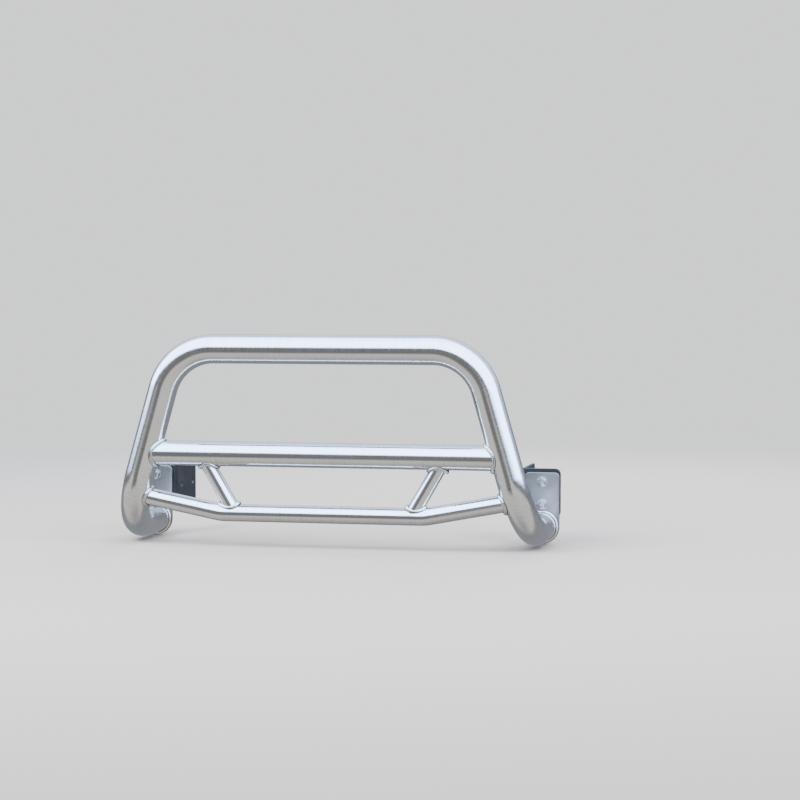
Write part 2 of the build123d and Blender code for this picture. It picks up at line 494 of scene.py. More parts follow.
class Graph:
    """A node graph of a material or a world, built one node at a time."""

    def __init__(self, owner: bpy.types.Material | bpy.types.World) -> None:
        """Clear the owner's graph."""
        owner.use_nodes = True
        self.tree = owner.node_tree
        self.tree.nodes.clear()

    def node(self, kind: str, inputs: dict | None = None, **settings: object) -> bpy.types.Node:
        """Add a node, set its options, and set or link its inputs.

        Args:
            kind: the node's type.
            inputs: input name or number, to a value or another node's output.
            settings: the node's own options.

        Returns:
            The node.
        """
        node = self.tree.nodes.new(kind)
        for name, value in settings.items():
            setattr(node, name, value)
        for key, value in (inputs or {}).items():
            if isinstance(value, bpy.types.NodeSocket):
                self.tree.links.new(value, node.inputs[key])
            else:
                node.inputs[key].default_value = value
        return node

    def math(self, operation: str, *values: object, clamp: bool = False) -> bpy.types.NodeSocket:
        """Result of a Math node."""
        inputs = dict(enumerate(values))
        return self.node("ShaderNodeMath", inputs, operation=operation, use_clamp=clamp).outputs[0]

    def mix(self, share: object, first: object, last: object) -> bpy.types.NodeSocket:
        """Colour mixed from first to last by share.

        Args:
            share: a number, or a node's output.
            first: a colour, or a node's output.
            last: a colour, or a node's output.

        Returns:
            The mixed colour.
        """
        inputs = {0: share}
        for socket, value in ((6, first), (7, last)):
            inputs[socket] = (*value, 1.0) if isinstance(value, tuple) else value
        return self.node("ShaderNodeMix", inputs, data_type="RGBA").outputs[2]

    def spread(
        self, value: object, low: float, high: float, to_low: float = 0.0, to_high: float = 1.0
    ) -> bpy.types.NodeSocket:
        """Value carried from one range to another, clamped, with soft ends."""
        inputs = {0: value, 1: low, 2: high, 3: to_low, 4: to_high}
        return self.node("ShaderNodeMapRange", inputs, interpolation_type="SMOOTHSTEP").outputs[0]

    def ramp(self, value: object, stops: list[tuple[float, Colour]]) -> bpy.types.NodeSocket:
        """Colour read from a ramp.

        Args:
            value: where it is read, from 0 to 1.
            stops: the ramp's places and their colours, in order.

        Returns:
            The colour.
        """
        node = self.node("ShaderNodeValToRGB", {0: value})
        elements = node.color_ramp.elements
        while len(elements) < len(stops):
            elements.new(0.5)
        for element, (place, colour) in zip(elements, stops, strict=True):
            element.position = place
            element.color = (*colour, 1.0)
        return node.outputs[0]

    def noise(
        self, vector: object, scale: float, detail: float = 2.0, rough: float = 0.5
    ) -> bpy.types.NodeSocket:
        """Value of a noise, about 0.5 on average."""
        inputs = {"Vector": vector, "Scale": scale, "Detail": detail, "Roughness": rough}
        return self.node("ShaderNodeTexNoise", inputs).outputs[0]

    def stretched(self, vector: object, scale: tuple[float, float, float]) -> bpy.types.NodeSocket:
        """Coordinates scaled differently along each axis."""
        return self.node("ShaderNodeMapping", {"Vector": vector, "Scale": scale}).outputs[0]

    def place(self) -> bpy.types.NodeSocket:
        """The piece's own coordinates, in metres."""
        return self.node("ShaderNodeTexCoord").outputs["Object"]

    def surface(self) -> bpy.types.NodeSocket:
        """The piece's UV map, in metres over the surface."""
        return self.node("ShaderNodeUVMap", uv_map="surface").outputs[0]

    def mark(self, name: str) -> bpy.types.NodeSocket:
        """A value stored at the piece's points."""
        return self.node("ShaderNodeAttribute", attribute_name=name).outputs["Fac"]

    def bump(
        self, height: object, strength: float, depth: float, normal: object = None
    ) -> bpy.types.NodeSocket:
        """Normal disturbed by a height.

        Args:
            height: the height, where 1 stands for depth.
            strength: how strongly it shows.
            depth: in metres.
            normal: a normal that is disturbed already, or None for the surface's own.

        Returns:
            The new normal.
        """
        inputs = {"Height": height, "Strength": strength, "Distance": depth}
        if normal is not None:
            inputs["Normal"] = normal
        return self.node("ShaderNodeBump", inputs).outputs[0]

    def finish(self, shader: bpy.types.Node) -> None:
        """Send a shader to the output."""
        self.node("ShaderNodeOutputMaterial", {"Surface": shader.outputs[0]})

    def principled(self, inputs: dict) -> None:
        """Send a principled shader with these inputs to the output."""
        self.finish(self.node("ShaderNodeBsdfPrincipled", inputs))


class Finish:
    """A surface finish: makes its material once and hands the same one to every piece."""

    made: ClassVar[dict[str, bpy.types.Material]] = {}

    def graph(self, nodes: Graph) -> None:
        """Build the finish's nodes."""
        raise NotImplementedError

    @property
    def material(self) -> bpy.types.Material:
        """The finish's material."""
        name = type(self).__name__
        if name not in Finish.made:
            Finish.made[name] = bpy.data.materials.new(name)
            self.graph(Graph(Finish.made[name]))
        return Finish.made[name]


@dataclass(frozen=True)
class PolishedStainless(Finish):
    """Mirror-polished stainless tube: belt marks round it, faint smudges, tint beside the welds.

    The stretches are noise steps per metre along the tube and round it.
    """

    colour: Colour = (0.80, 0.797, 0.79)
    filmed: Colour = (0.60, 0.59, 0.57)
    scratched: Colour = (0.42, 0.42, 0.42)
    straw: Colour = (0.62, 0.53, 0.38)
    blued: Colour = (0.34, 0.36, 0.42)
    mirror: float = 0.12
    smudged: float = 0.23
    mark_roughness: float = 0.32
    belt_stretch: tuple[float, float, float] = (380.0, 13.0, 1.0)
    drawn_stretch: tuple[float, float, float] = (11.0, 900.0, 1.0)
    smudges_per_metre: float = 9.0
    spots_per_metre: float = 85.0
    waves_per_metre: float = 26.0
    mark_depth: float = 0.06 * MM
    wave_depth: float = 0.10 * MM

    def graph(self, nodes: Graph) -> None:
        """Belt marks and smudges set the roughness; the weld's heat sets tint and roughness.

        Args:
            nodes: the material's graph.
        """
        uv = nodes.surface()
        place = nodes.place()
        belt = nodes.noise(nodes.stretched(uv, self.belt_stretch), 1.0, 6.0, 0.75)
        drawn = nodes.noise(nodes.stretched(uv, self.drawn_stretch), 1.0, 3.0, 0.6)
        marks = nodes.math("MULTIPLY_ADD", belt, 0.7, nodes.math("MULTIPLY", drawn, 0.3))
        cloud = nodes.noise(place, self.smudges_per_metre, 5.0, 0.62)
        spots = nodes.spread(nodes.noise(place, self.spots_per_metre), 0.66, 0.74)
        smudge = nodes.spread(cloud, 0.46, 0.72)
        heat = nodes.mark("heat")
        worn = nodes.math("MULTIPLY_ADD", smudge, 0.45, nodes.math("MULTIPLY", spots, 0.25))
        worn = nodes.math("MULTIPLY_ADD", heat, 0.75, worn, clamp=True)
        rough = nodes.spread(worn, 0.0, 1.0, self.mirror, self.smudged)
        centred = nodes.math("SUBTRACT", marks, 0.5)
        rough = nodes.math("MULTIPLY_ADD", centred, self.mark_roughness, rough, clamp=True)
        stops = [(0.0, self.colour), (0.35, self.colour), (0.62, self.straw), (0.9, self.blued)]
        film = nodes.mix(nodes.spread(cloud, 0.35, 0.75, 0.0, 0.16), nodes.ramp(heat, stops), self.filmed)
        film = nodes.mix(nodes.spread(marks, 0.34, 0.60, 0.46, 0.0), film, self.scratched)
        waves = nodes.noise(place, self.waves_per_metre, 2.0, 0.4)
        normal = nodes.bump(marks, 0.6, self.mark_depth)
        normal = nodes.bump(waves, 0.30, self.wave_depth, normal)
        nodes.principled({"Base Color": film, "Metallic": 1.0, "Roughness": rough, "Normal": normal})


@dataclass(frozen=True)
class WeldBead(Finish):
    """Rippled weld metal: bright crests, a little straw, valleys darker partly from oxide and partly as
    painted shade, and painted shade in the creases at the toes.
    """

    crest: Colour = (0.78, 0.77, 0.75)
    # The valley colour is partly oxide and partly painted shade in the ripples' hollows; the toe colour is
    # painted shade, nearly black, in the creases where the bead meets the tube or plate.
    valley_oxide_and_shade: Colour = (0.13, 0.127, 0.124)
    toe_shade: Colour = (0.014, 0.013, 0.012)
    straw: Colour = (0.60, 0.50, 0.36)
    clouds_per_metre: float = 60.0
    grains_per_metre: float = 900.0
    grain_depth: float = 0.08 * MM

    def graph(self, nodes: Graph) -> None:
        """Ripple height mixes the valley colour, partly oxide and partly painted shade, with the crest;
        painted shade darkens the toes' creases; a cloud adds straw.

        Args:
            nodes: the material's graph.
        """
        place = nodes.place()
        ripple = nodes.mark("ripple")
        cloud = nodes.noise(place, self.clouds_per_metre, 3.0, 0.6)
        # Painted shade, partly oxide: the colour falls towards the valley colour away from the ripples'
        # crests and towards the face's edges.
        colour = nodes.mix(nodes.spread(ripple, 0.05, 0.6), self.valley_oxide_and_shade, self.crest)
        colour = nodes.mix(nodes.spread(cloud, 0.5, 0.72, 0.0, 0.45), colour, self.straw)
        # Painted shade: the toe mark darkens the creases along the bead's edges almost to black.
        colour = nodes.mix(nodes.spread(nodes.mark("toe_shade"), 0.30, 0.9, 0.0, 0.92), colour, self.toe_shade)
        rough = nodes.spread(nodes.math("MULTIPLY_ADD", cloud, 0.4, ripple), 0.1, 1.3, 0.34, 0.14)
        grain = nodes.noise(place, self.grains_per_metre, 2.0, 0.6)
        normal = nodes.bump(grain, 0.25, self.grain_depth)
        nodes.principled({"Base Color": colour, "Metallic": 1.0, "Roughness": rough, "Normal": normal})


@dataclass(frozen=True)
class SatinPlate(Finish):
    """Satin stainless plate, ground in straight lines, with coarser cut marks on its edges.

    The stretches are noise steps per metre across, to the rear and up.
    """

    colour: Colour = (0.325, 0.306, 0.282)
    dull: Colour = (0.21, 0.197, 0.182)
    grain_stretch: tuple[float, float, float] = (18.0, 60.0, 2400.0)
    cut_stretch: tuple[float, float, float] = (900.0, 25.0, 900.0)
    clouds_per_metre: float = 22.0
    line_depth: float = 0.05 * MM
    anisotropy: float = 0.4

    def graph(self, nodes: Graph) -> None:
        """Lines along the grain set roughness and bump; the edge mark swaps in cut striations.

        Args:
            nodes: the material's graph.
        """
        place = nodes.place()
        grain = nodes.noise(nodes.stretched(place, self.grain_stretch), 1.0, 4.0, 0.7)
        cuts = nodes.noise(nodes.stretched(place, self.cut_stretch), 1.0, 2.0, 0.6)
        edge = nodes.mark("edge")
        ground = nodes.math("MULTIPLY", grain, nodes.math("SUBTRACT", 1.0, edge))
        lines = nodes.math("ADD", ground, nodes.math("MULTIPLY", cuts, edge))
        cloud = nodes.noise(place, self.clouds_per_metre, 4.0, 0.6)
        colour = nodes.mix(nodes.spread(cloud, 0.4, 0.7, 0.0, 0.5), self.colour, self.dull)
        uneven = nodes.math("MULTIPLY_ADD", lines, 0.6, nodes.math("MULTIPLY", cloud, 0.4))
        rough = nodes.spread(uneven, 0.3, 0.7, 0.24, 0.44)
        normal = nodes.bump(lines, 0.5, self.line_depth)
        surface = {"Base Color": colour, "Metallic": 1.0, "Roughness": rough, "Normal": normal}
        nodes.principled({**surface, "Anisotropic": self.anisotropy})


@dataclass(frozen=True)
class BlackPowderCoat(Finish):
    """Black powder coat: orange peel, fine grit, a little dust, thinner and greyer on edges."""

    colour: Colour = (0.008, 0.008, 0.0085)
    dust: Colour = (0.085, 0.082, 0.078)
    edge: Colour = (0.045, 0.045, 0.047)
    peel_per_metre: float = 520.0
    grits_per_metre: float = 2300.0
    clouds_per_metre: float = 17.0
    peel_depth: float = 0.12 * MM
    gloss_level: float = 0.28

    def graph(self, nodes: Graph) -> None:
        """Two noises make the peel and grit; a slow one lays dust; the edge mark greys the rims.

        Args:
            nodes: the material's graph.
        """
        place = nodes.place()
        peel = nodes.noise(place, self.peel_per_metre)
        grit = nodes.noise(place, self.grits_per_metre, 1.0)
        cloud = nodes.noise(place, self.clouds_per_metre, 5.0, 0.65)
        colour = nodes.mix(nodes.spread(cloud, 0.45, 0.8, 0.0, 0.22), self.colour, self.dust)
        colour = nodes.mix(nodes.spread(nodes.mark("edge"), 0.3, 1.0, 0.0, 0.7), colour, self.edge)
        rough = nodes.spread(nodes.math("MULTIPLY_ADD", grit, 0.3, cloud), 0.3, 1.1, 0.36, 0.52)
        height = nodes.math("MULTIPLY_ADD", grit, 0.25, peel)
        normal = nodes.bump(height, 0.55, self.peel_depth)
        surface = {"Base Color": colour, "Roughness": rough, "Normal": normal}
        nodes.principled({**surface, "Specular IOR Level": self.gloss_level})


@dataclass(frozen=True)
class ZincPlate(Finish):
    """Bright zinc plate, slightly cloudy, with a fine plated grain."""

    colour: Colour = (0.45, 0.44, 0.42)
    cloudy: Colour = (0.275, 0.265, 0.255)
    clouds_per_metre: float = 140.0
    grains_per_metre: float = 2600.0
    grain_depth: float = 0.03 * MM

    def graph(self, nodes: Graph) -> None:
        """A cloud mixes two greys and their gloss; fine noise gives the plated grain.

        Args:
            nodes: the material's graph.
        """
        place = nodes.place()
        cloud = nodes.noise(place, self.clouds_per_metre, 4.0, 0.6)
        grain = nodes.noise(place, self.grains_per_metre, 2.0, 0.6)
        colour = nodes.mix(nodes.spread(cloud, 0.38, 0.68), self.colour, self.cloudy)
        rough = nodes.spread(nodes.math("MULTIPLY_ADD", grain, 0.35, cloud), 0.4, 0.95, 0.20, 0.42)
        normal = nodes.bump(grain, 0.3, self.grain_depth)
        nodes.principled({"Base Color": colour, "Metallic": 1.0, "Roughness": rough, "Normal": normal})


# ---- Welds ----


@dataclass
class Weld:
    """A fillet weld laid round a joint as overlapping ripples.

    Fields:
        leg: the fillet's leg.
        pitch: length of one ripple.
        ripple: height of one ripple.
        bulge: how far the face stands proud of flat, as a share of its width.
        bulge_unevenness: how much the bulge varies round the joint, as a share of itself.
        leg_unevenness: how much the leg varies round the joint, as a share of itself.
        crescent: how far a ripple's ends lag behind its middle, in ripples.
        jitter: how much the ripples' lengths vary, in ripples.
        skew: power that makes a ripple rise fast and fall slowly.
        toe_power: how closely the toes' mark keeps to the toes.
        face_steps: steps across the face.
        round_steps: steps round the joint.
        line_stride: steps round the joint from one point of its line to the next.
    """

    leg: float
    pitch: float = 3.3 * MM
    ripple: float = 0.48 * MM
    bulge: float = 0.27
    bulge_unevenness: float = 0.35
    leg_unevenness: float = 0.16
    crescent: float = 1.05
    jitter: float = 0.35
    skew: float = 0.6
    # toe_power: how closely the toes' mark, which paints shade into their creases, keeps to the toes.
    toe_shade_power: float = 2.2
    face_steps: int = 12
    round_steps: int = 432
    line_stride: int = 12

    def angles(self) -> Array:
        """Angles round the joint, closed."""
        return np.linspace(0, TURN, self.round_steps + 1)

    def line(self, grid: Array) -> Array:
        """Points midway between the toes, round the joint."""
        return (grid[0, :: self.line_stride] + grid[self.face_steps, :: self.line_stride]) / 2

    def surface(
        self, root: Array, on_branch: Array, on_carrier: Array, seed: int
    ) -> tuple[Array, dict[str, Array]]:
        """Closed ring whose face runs from one toe to the other and whose back is the root.

        The face is a parabola through the toes, pushed out by the bulge. Each ripple adds a
        scallop, the sine of half a turn times f to the power skew, with f the place in the
        ripple, so it rises fast and falls slowly like overlapping coins. It is bent to a crescent
        by adding the square of the distance from the face's middle to its phase.

        Args:
            root: the joint's line, one point for each angle.
            on_branch: the toe on the joined tube.
            on_carrier: the toe on the tube or plate that carries it.
            seed: picks this bead's unevenness.

        Returns:
            The grid of points and its marks.
        """
        angle = self.angles()
        uneven = wave(angle, seed)[None, :, None]
        fine = wave(angle, seed + 1, 23)[None, :, None]
        share = np.linspace(0, 1, self.face_steps + 1)[:, None, None]
        steps = np.linalg.norm(np.diff(root, axis=0), axis=-1)
        travel = np.concatenate([[0], np.cumsum(steps)])
        ripples = round(travel[-1] / self.pitch)
        crescent = self.crescent * (2 * share - 1) ** 2
        phase = ripples * (travel / travel[-1])[None, :, None] + self.jitter * fine + crescent
        place = phase - np.floor(phase)
        scallop = np.sin(np.pi * place**self.skew)
        middle = (on_branch + on_carrier) / 2
        outward = unit(middle - root)[None]
        width = np.linalg.norm(on_branch - on_carrier, axis=-1)[None, :, None]
        swell = 4 * share * (1 - share)
        flat = on_branch[None] * (1 - share) + on_carrier[None] * share
        lift = width * self.bulge * (1 + self.bulge_unevenness * uneven) * swell
        face = flat + outward * (lift + self.ripple * (scallop - 0.4) * np.sqrt(swell))
        grid = np.concatenate([face, root[None], face[:1]])
        # This mark drives the painted shade in the creases at both toes.
        toe_shade = np.abs(2 * share[..., 0] - 1) ** self.toe_shade_power * np.ones(face.shape[:2])
        pad = np.zeros((2, len(angle)))
        # The ripple mark sets the crests' brightness against the valleys' partly painted shade, and the
        # roughness.
        marks = {
            "ripple": np.concatenate([(scallop * (0.4 + 0.6 * swell))[..., 0], pad]),
            "toe_shade": np.concatenate([toe_shade, pad + 1]),
        }
        return grid, marks

    def round_tube(
        self, branch: Tube, carrier: Tube, last: bool, seed: int
    ) -> tuple[Array, dict[str, Array]]:
        """Bead round a tube's coped end, on the tube that it is coped to.

        Args:
            branch: the coped tube.
            carrier: the tube that it meets.
            last: whether it is the branch's last end.
            seed: picks this bead's unevenness.

        Returns:
            The grid of points and its marks.
        """
        angle = self.angles()
        away = -1.0 if last else 1.0
        leg = self.leg * (1 + self.leg_unevenness * wave(angle, seed + 2, 9))
        seat = branch.seat(carrier, last, angle, branch.radius)
        joint = branch.skin(seat, angle, branch.radius)
        on_branch = branch.skin(seat + away * leg, angle, branch.radius - SUNK)
        centre = branch.line.at(seat)[0]
        spread = joint + unit(joint - centre) * leg[:, None]
        core = carrier.line.nearest(spread)
        on_carrier = core + (carrier.radius - SUNK) * unit(spread - core)
        root = branch.skin(seat - away * 2 * SUNK, angle, branch.radius - 3 * SUNK)
        return self.surface(root, on_branch, on_carrier, seed)


# ---- The welded guard ----


@dataclass
class Guard:
    """The hoop, its cross tubes and struts, and the welds between them.

    The sizes below are the tubes' own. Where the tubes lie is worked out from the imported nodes'
    boxes, into the fields that have no default.
    """

    hoop_radius: float = 31.75 * MM
    hoop_wall: float = 2.0 * MM
    hoop_facets: int = 112
    hoop_step: float = 5.5 * MM
    hoop_bend_step: float = 3.6 * MM
    top_bend: float = 120.0 * MM
    foot_bend: float = 127.0 * MM
    top_corner_x: float = 333.0 * MM
    cross_wall: float = 2.0 * MM
    cross_facets: int = 96
    cross_step: float = 6.0 * MM
    lower_radius: float = 19.05 * MM
    lower_wall: float = 1.6 * MM
    lower_facets: int = 80
    lower_step: float = 4.5 * MM
    lower_bend: float = 110.0 * MM
    lower_bend_x: float = 226.0 * MM
    lower_end_rise: float = 37.0 * MM
    strut_radius: float = 15.9 * MM
    strut_wall: float = 1.5 * MM
    strut_facets: int = 64
    strut_step: float = 4.0 * MM
    strut_top_x: float = 270.0 * MM
    strut_foot_x: float = 195.0 * MM
    tube_leg: float = 6.2 * MM
    strut_leg: float = 6.4 * MM
    strut_bulge: float = 0.38
    plate_leg: float = 4.9 * MM
    plate_leg_unevenness: float = 0.06
    plate_pitch: float = 3.4 * MM
    joint_seed: int = 20
    joint_seed_step: int = 10
    plate_seed: int = 200
    heat_reach: float = 7.0 * MM
    heat_lines: list[Array] = field(default_factory=list)
    leg_y: float = field(init=False)
    foot_x: float = field(init=False)
    foot_z: float = field(init=False)
    top_z: float = field(init=False)
    plate_y: float = field(init=False)
    cross_z: float = field(init=False)
    cross_radius: float = field(init=False)
    lower_z: float = field(init=False)
    hoop: Tube = field(init=False)
    cross: Tube = field(init=False)
    lower: Tube = field(init=False)
    struts: dict[Hand, Tube] = field(init=False)

    WELD_CREASE = 80.0
    MIRROR = np.array([-1.0, 1.0, 1.0])

    def __post_init__(self) -> None:
        """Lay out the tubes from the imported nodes' boxes."""
        low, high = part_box("main_hoop")
        cross_low, cross_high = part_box("upper_cross_tube")
        lower_low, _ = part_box("lower_cross_tube")
        self.leg_y = low.y + self.hoop_radius
        self.foot_x = high.x - self.hoop_radius
        self.foot_z = low.z + self.hoop_radius
        self.top_z = high.z - self.hoop_radius
        self.plate_y = high.y
        self.cross_z = (cross_low.z + cross_high.z) / 2
        self.cross_radius = (cross_high.z - cross_low.z) / 2
        self.lower_z = lower_low.z + self.lower_radius
        self.hoop = self.bent_hoop()
        self.cross = self.cross_tube()
        self.lower = self.bent_lower_tube()
        self.struts = {hand: self.strut(hand) for hand in Hand}

    def bent_hoop(self) -> Tube:
        """The hoop: foot, leg, top bar, leg, foot.

        Returns:
            The tube, with its first end at the left foot.
        """
        half = np.array([
            [self.foot_x, self.plate_y, self.foot_z],
            [self.foot_x, self.leg_y, self.foot_z],
            [self.top_corner_x, self.leg_y, self.top_z],
        ])
        corners = np.concatenate([half * self.MIRROR, half[::-1]])
        radii = [self.foot_bend, self.top_bend, self.top_bend, self.foot_bend]
        line = CentreLine(corners, radii, ACROSS)
        return Tube(line, self.hoop_radius, self.hoop_wall, self.hoop_facets, self.hoop_step)

    def cross_tube(self) -> Tube:
        """The upper cross tube, between the straight runs of the legs.

        Returns:
            The tube, with its first end on the left leg.
        """
        lean = (self.foot_x - self.top_corner_x) * (self.top_z - self.cross_z) / (self.top_z - self.foot_z)
        end = np.array([self.top_corner_x + lean, self.leg_y, self.cross_z])
        line = CentreLine(np.array([end * self.MIRROR, end]), [], FRONT)
        return Tube(line, self.cross_radius, self.cross_wall, self.cross_facets, self.cross_step)

    def strut(self, hand: Hand) -> Tube:
        """One strut, from the upper cross tube down to the lower one.

        Args:
            hand: the side.

        Returns:
            The tube, with its first end at the top.
        """
        top = np.array([hand.value * self.strut_top_x, self.leg_y, self.cross_z])
        foot = np.array([hand.value * self.strut_foot_x, self.leg_y, self.lower_z])
        line = CentreLine(np.array([top, foot]), [], FRONT)
        return Tube(line, self.strut_radius, self.strut_wall, self.strut_facets, self.strut_step)

    def bent_lower_tube(self) -> Tube:
        """The lower cross tube, bent up towards its ends, which meet the hoop's foot bends.

        Returns:
            The tube, with its first end on the left leg.
        """
        end_z = self.lower_z + self.lower_end_rise
        left_leg = np.linspace(0, self.hoop.line.length / 3, 4001)
        centres = self.hoop.line.at(left_leg)[0]
        on_leg = centres[np.abs(centres[:, 2] - end_z).argmin()]
        end = np.array([abs(on_leg[0]), on_leg[1], end_z])
        half = np.array([end, [self.lower_bend_x, self.leg_y, self.lower_z]])
        corners = np.concatenate([half * self.MIRROR, half[::-1]])
        square = unit(np.cross(corners[1] - corners[0], UP))
        line = CentreLine(corners, [self.lower_bend, self.lower_bend], square)
        return Tube(line, self.lower_radius, self.lower_wall, self.lower_facets, self.lower_step)

    def heat_at(self, points: Array) -> Array:
        """Weld heat from 0 to 1: a bell curve of the distance to the nearest weld line.

        Args:
            points: a grid of points.

        Returns:
            The heat at each point.
        """
        flat = points.reshape(-1, 3)
        gap = np.full(len(flat), np.inf)
        for line in self.heat_lines:
            gap = np.minimum(gap, np.linalg.norm(flat[:, None] - line[None], axis=-1).min(1))
        return np.exp(-((gap / self.heat_reach) ** 2)).reshape(points.shape[:-1])

    def build_tube(self, name: str, node: str, tube: Tube, along: list[Array]) -> None:
        """A closed tube: outer skin, bore, and the rims that join them at both ends.

        Args:
            name: the piece's name.
            node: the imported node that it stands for.
            tube: its centre line and sizes.
            along: distances for the outer skin and for the bore, each rows by columns.
        """
        piece = Workpiece(name)
        skins = []
        for radius, distance in zip((tube.radius, tube.bore), along, strict=True):
            turn = np.broadcast_to(tube.turn(), distance.shape)
            skins.append(tube.skin(distance, turn, radius))
            uv = np.stack([distance, turn * tube.radius], -1)
            heat = self.heat_at(skins[-1]) if radius == tube.radius else 0.0
            piece.add(skins[-1], uv, heat=heat)
        for row in (0, -1):
            piece.add(np.stack([skins[0][row], skins[1][row]]))
        piece.place(node, Body.GUARD, Slot.TUBE, PolishedStainless())

    def build_hoop(self) -> None:
        """The main hoop, cut square at its feet."""
        distance = self.hoop.line.stations(self.hoop.step, self.hoop_bend_step)
        along = np.repeat(distance[:, None], self.hoop.facets + 1, 1)
        self.build_tube("main_hoop_tube", "main_hoop", self.hoop, [along, along])

    def build_coped(self, name: str, node: str, tube: Tube, first: Tube, last: Tube) -> None:
        """A tube coped to a carrier at each end.

        Args:
            name: the piece's name.
            node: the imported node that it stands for.
            tube: the tube.
            first: the tube that its first end meets.
            last: the tube that its last end meets.
        """
        rows = math.ceil(tube.line.length / tube.step)
        share = np.linspace(0, 1, rows + 1)[:, None]
        along = []
        for radius in (tube.radius, tube.bore):
            start = tube.seat(first, False, tube.turn(), radius)
            end = tube.seat(last, True, tube.turn(), radius)
            along.append(start * (1 - share) + end * share)
        self.build_tube(name, node, tube, along)

    def joints(self) -> dict[str, tuple[Tube, Tube, bool]]:
        """Each weld's node, with its branch, its carrier and whether it is the branch's last end.

        Returns:
            The joints in the order in which they are welded.
        """
        joints = {}
        for hand in Hand:
            last = hand is Hand.RIGHT
            joints[hand.node("upper_cross_weld")] = (self.cross, self.hoop, last)
            joints[hand.node("lower_cross_weld")] = (self.lower, self.hoop, last)
            joints[hand.node("strut_top_weld")] = (self.struts[hand], self.cross, False)
            joints[hand.node("strut_foot_weld")] = (self.struts[hand], self.lower, True)
        return joints

    def lay(self, node: str, weld: Weld, grid: Array, marks: dict[str, Array]) -> None:
        """Make one bead's piece, and note its line as a source of heat.

        Args:
            node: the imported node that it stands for.
            weld: its sizes.
            grid: its surface.
            marks: the surface's marks.
        """
        self.heat_lines.append(weld.line(grid))
        piece = Workpiece(f"{node}_bead")
        piece.add(grid, **marks)
        piece.place(node, Body.GUARD, Slot.WELD, WeldBead(), self.WELD_CREASE)

    def build_joint_welds(self) -> None:
        """The beads at the tubes' coped ends, fuller round the struts."""
        for place, (node, (branch, carrier, last)) in enumerate(self.joints().items()):
            slim = branch.radius < self.lower_radius
            weld = Weld(self.strut_leg, bulge=self.strut_bulge) if slim else Weld(self.tube_leg)
            seed = self.joint_seed + self.joint_seed_step * place
            self.lay(node, weld, *weld.round_tube(branch, carrier, last, seed))

    def build_plate_welds(self) -> None:
        """The beads between the hoop's feet and their mounting plates."""
        weld = Weld(self.plate_leg, self.plate_pitch)
        angle = weld.angles()
        spoke = np.cos(angle)[:, None] * ACROSS + np.sin(angle)[:, None] * UP
        for hand in Hand:
            seed = self.plate_seed + hand.value
            leg = weld.leg * (1 + self.plate_leg_unevenness * (wave(angle, seed, 9) - 1))
            hub = np.array([hand.value * self.foot_x, self.plate_y, self.foot_z])
            root = hub + spoke * (self.hoop_radius - SUNK)
            on_branch = root + FRONT * leg[:, None]
            on_carrier = hub + spoke * (self.hoop_radius + leg)[:, None]
            self.lay(hand.node("plate_weld"), weld, *weld.surface(root, on_branch, on_carrier, seed))

    def build(self) -> None:
        """Welds first, because the tubes take their tint from where the welds are."""
        self.build_joint_welds()
        self.build_plate_welds()
        self.build_hoop()
        self.build_coped("upper_cross_tube_coped", "upper_cross_tube", self.cross, self.hoop, self.hoop)
        self.build_coped("lower_cross_tube_bent", "lower_cross_tube", self.lower, self.hoop, self.hoop)
        for hand in Hand:
            name, node = hand.node("strut_tube"), hand.node("strut")
            self.build_coped(name, node, self.struts[hand], self.cross, self.lower)


# ---- Sheet parts: mounting plates and brackets ----


@dataclass
class Opening:
    """A round hole, or an upright slot, in a sheet part."""

    centre: tuple[float, float]
    radius: float
    half_run: float = 0.0

    def rim(self, border: Array, grow: float) -> Array:
        """The outline point of the opening nearest to each border point.

        Args:
            border: border points.
            grow: how much larger the rim is than the opening.

        Returns:
            One rim point for each border point.
        """
        core = np.tile(np.array(self.centre), (len(border), 1))
        core[:, 1] += np.clip(border[:, 1] - self.centre[1], -self.half_run, self.half_run)
        return core + (self.radius + grow) * unit(border - core)


@dataclass
class Cell:
    """One patch of a sheet part's face, round an opening or round a middle point.

    Fields:
        sides: the border's sides in order, each a function of the inset from the part's edge.
        outer: which sides lie on the part's edge.
        opening: the opening inside, or None where the face is whole.
        middle: where a whole face's patch is centred.
    """

    sides: list[Side]
    outer: list[bool]
    opening: Opening | None = None
    middle: tuple[float, float] = (0.0, 0.0)

    def border(self, inset: float) -> Array:
        """The whole border as a closed row of points."""
        loop = np.concatenate([side(inset)[:-1] for side in self.sides])
        return np.concatenate([loop, loop[:1]])


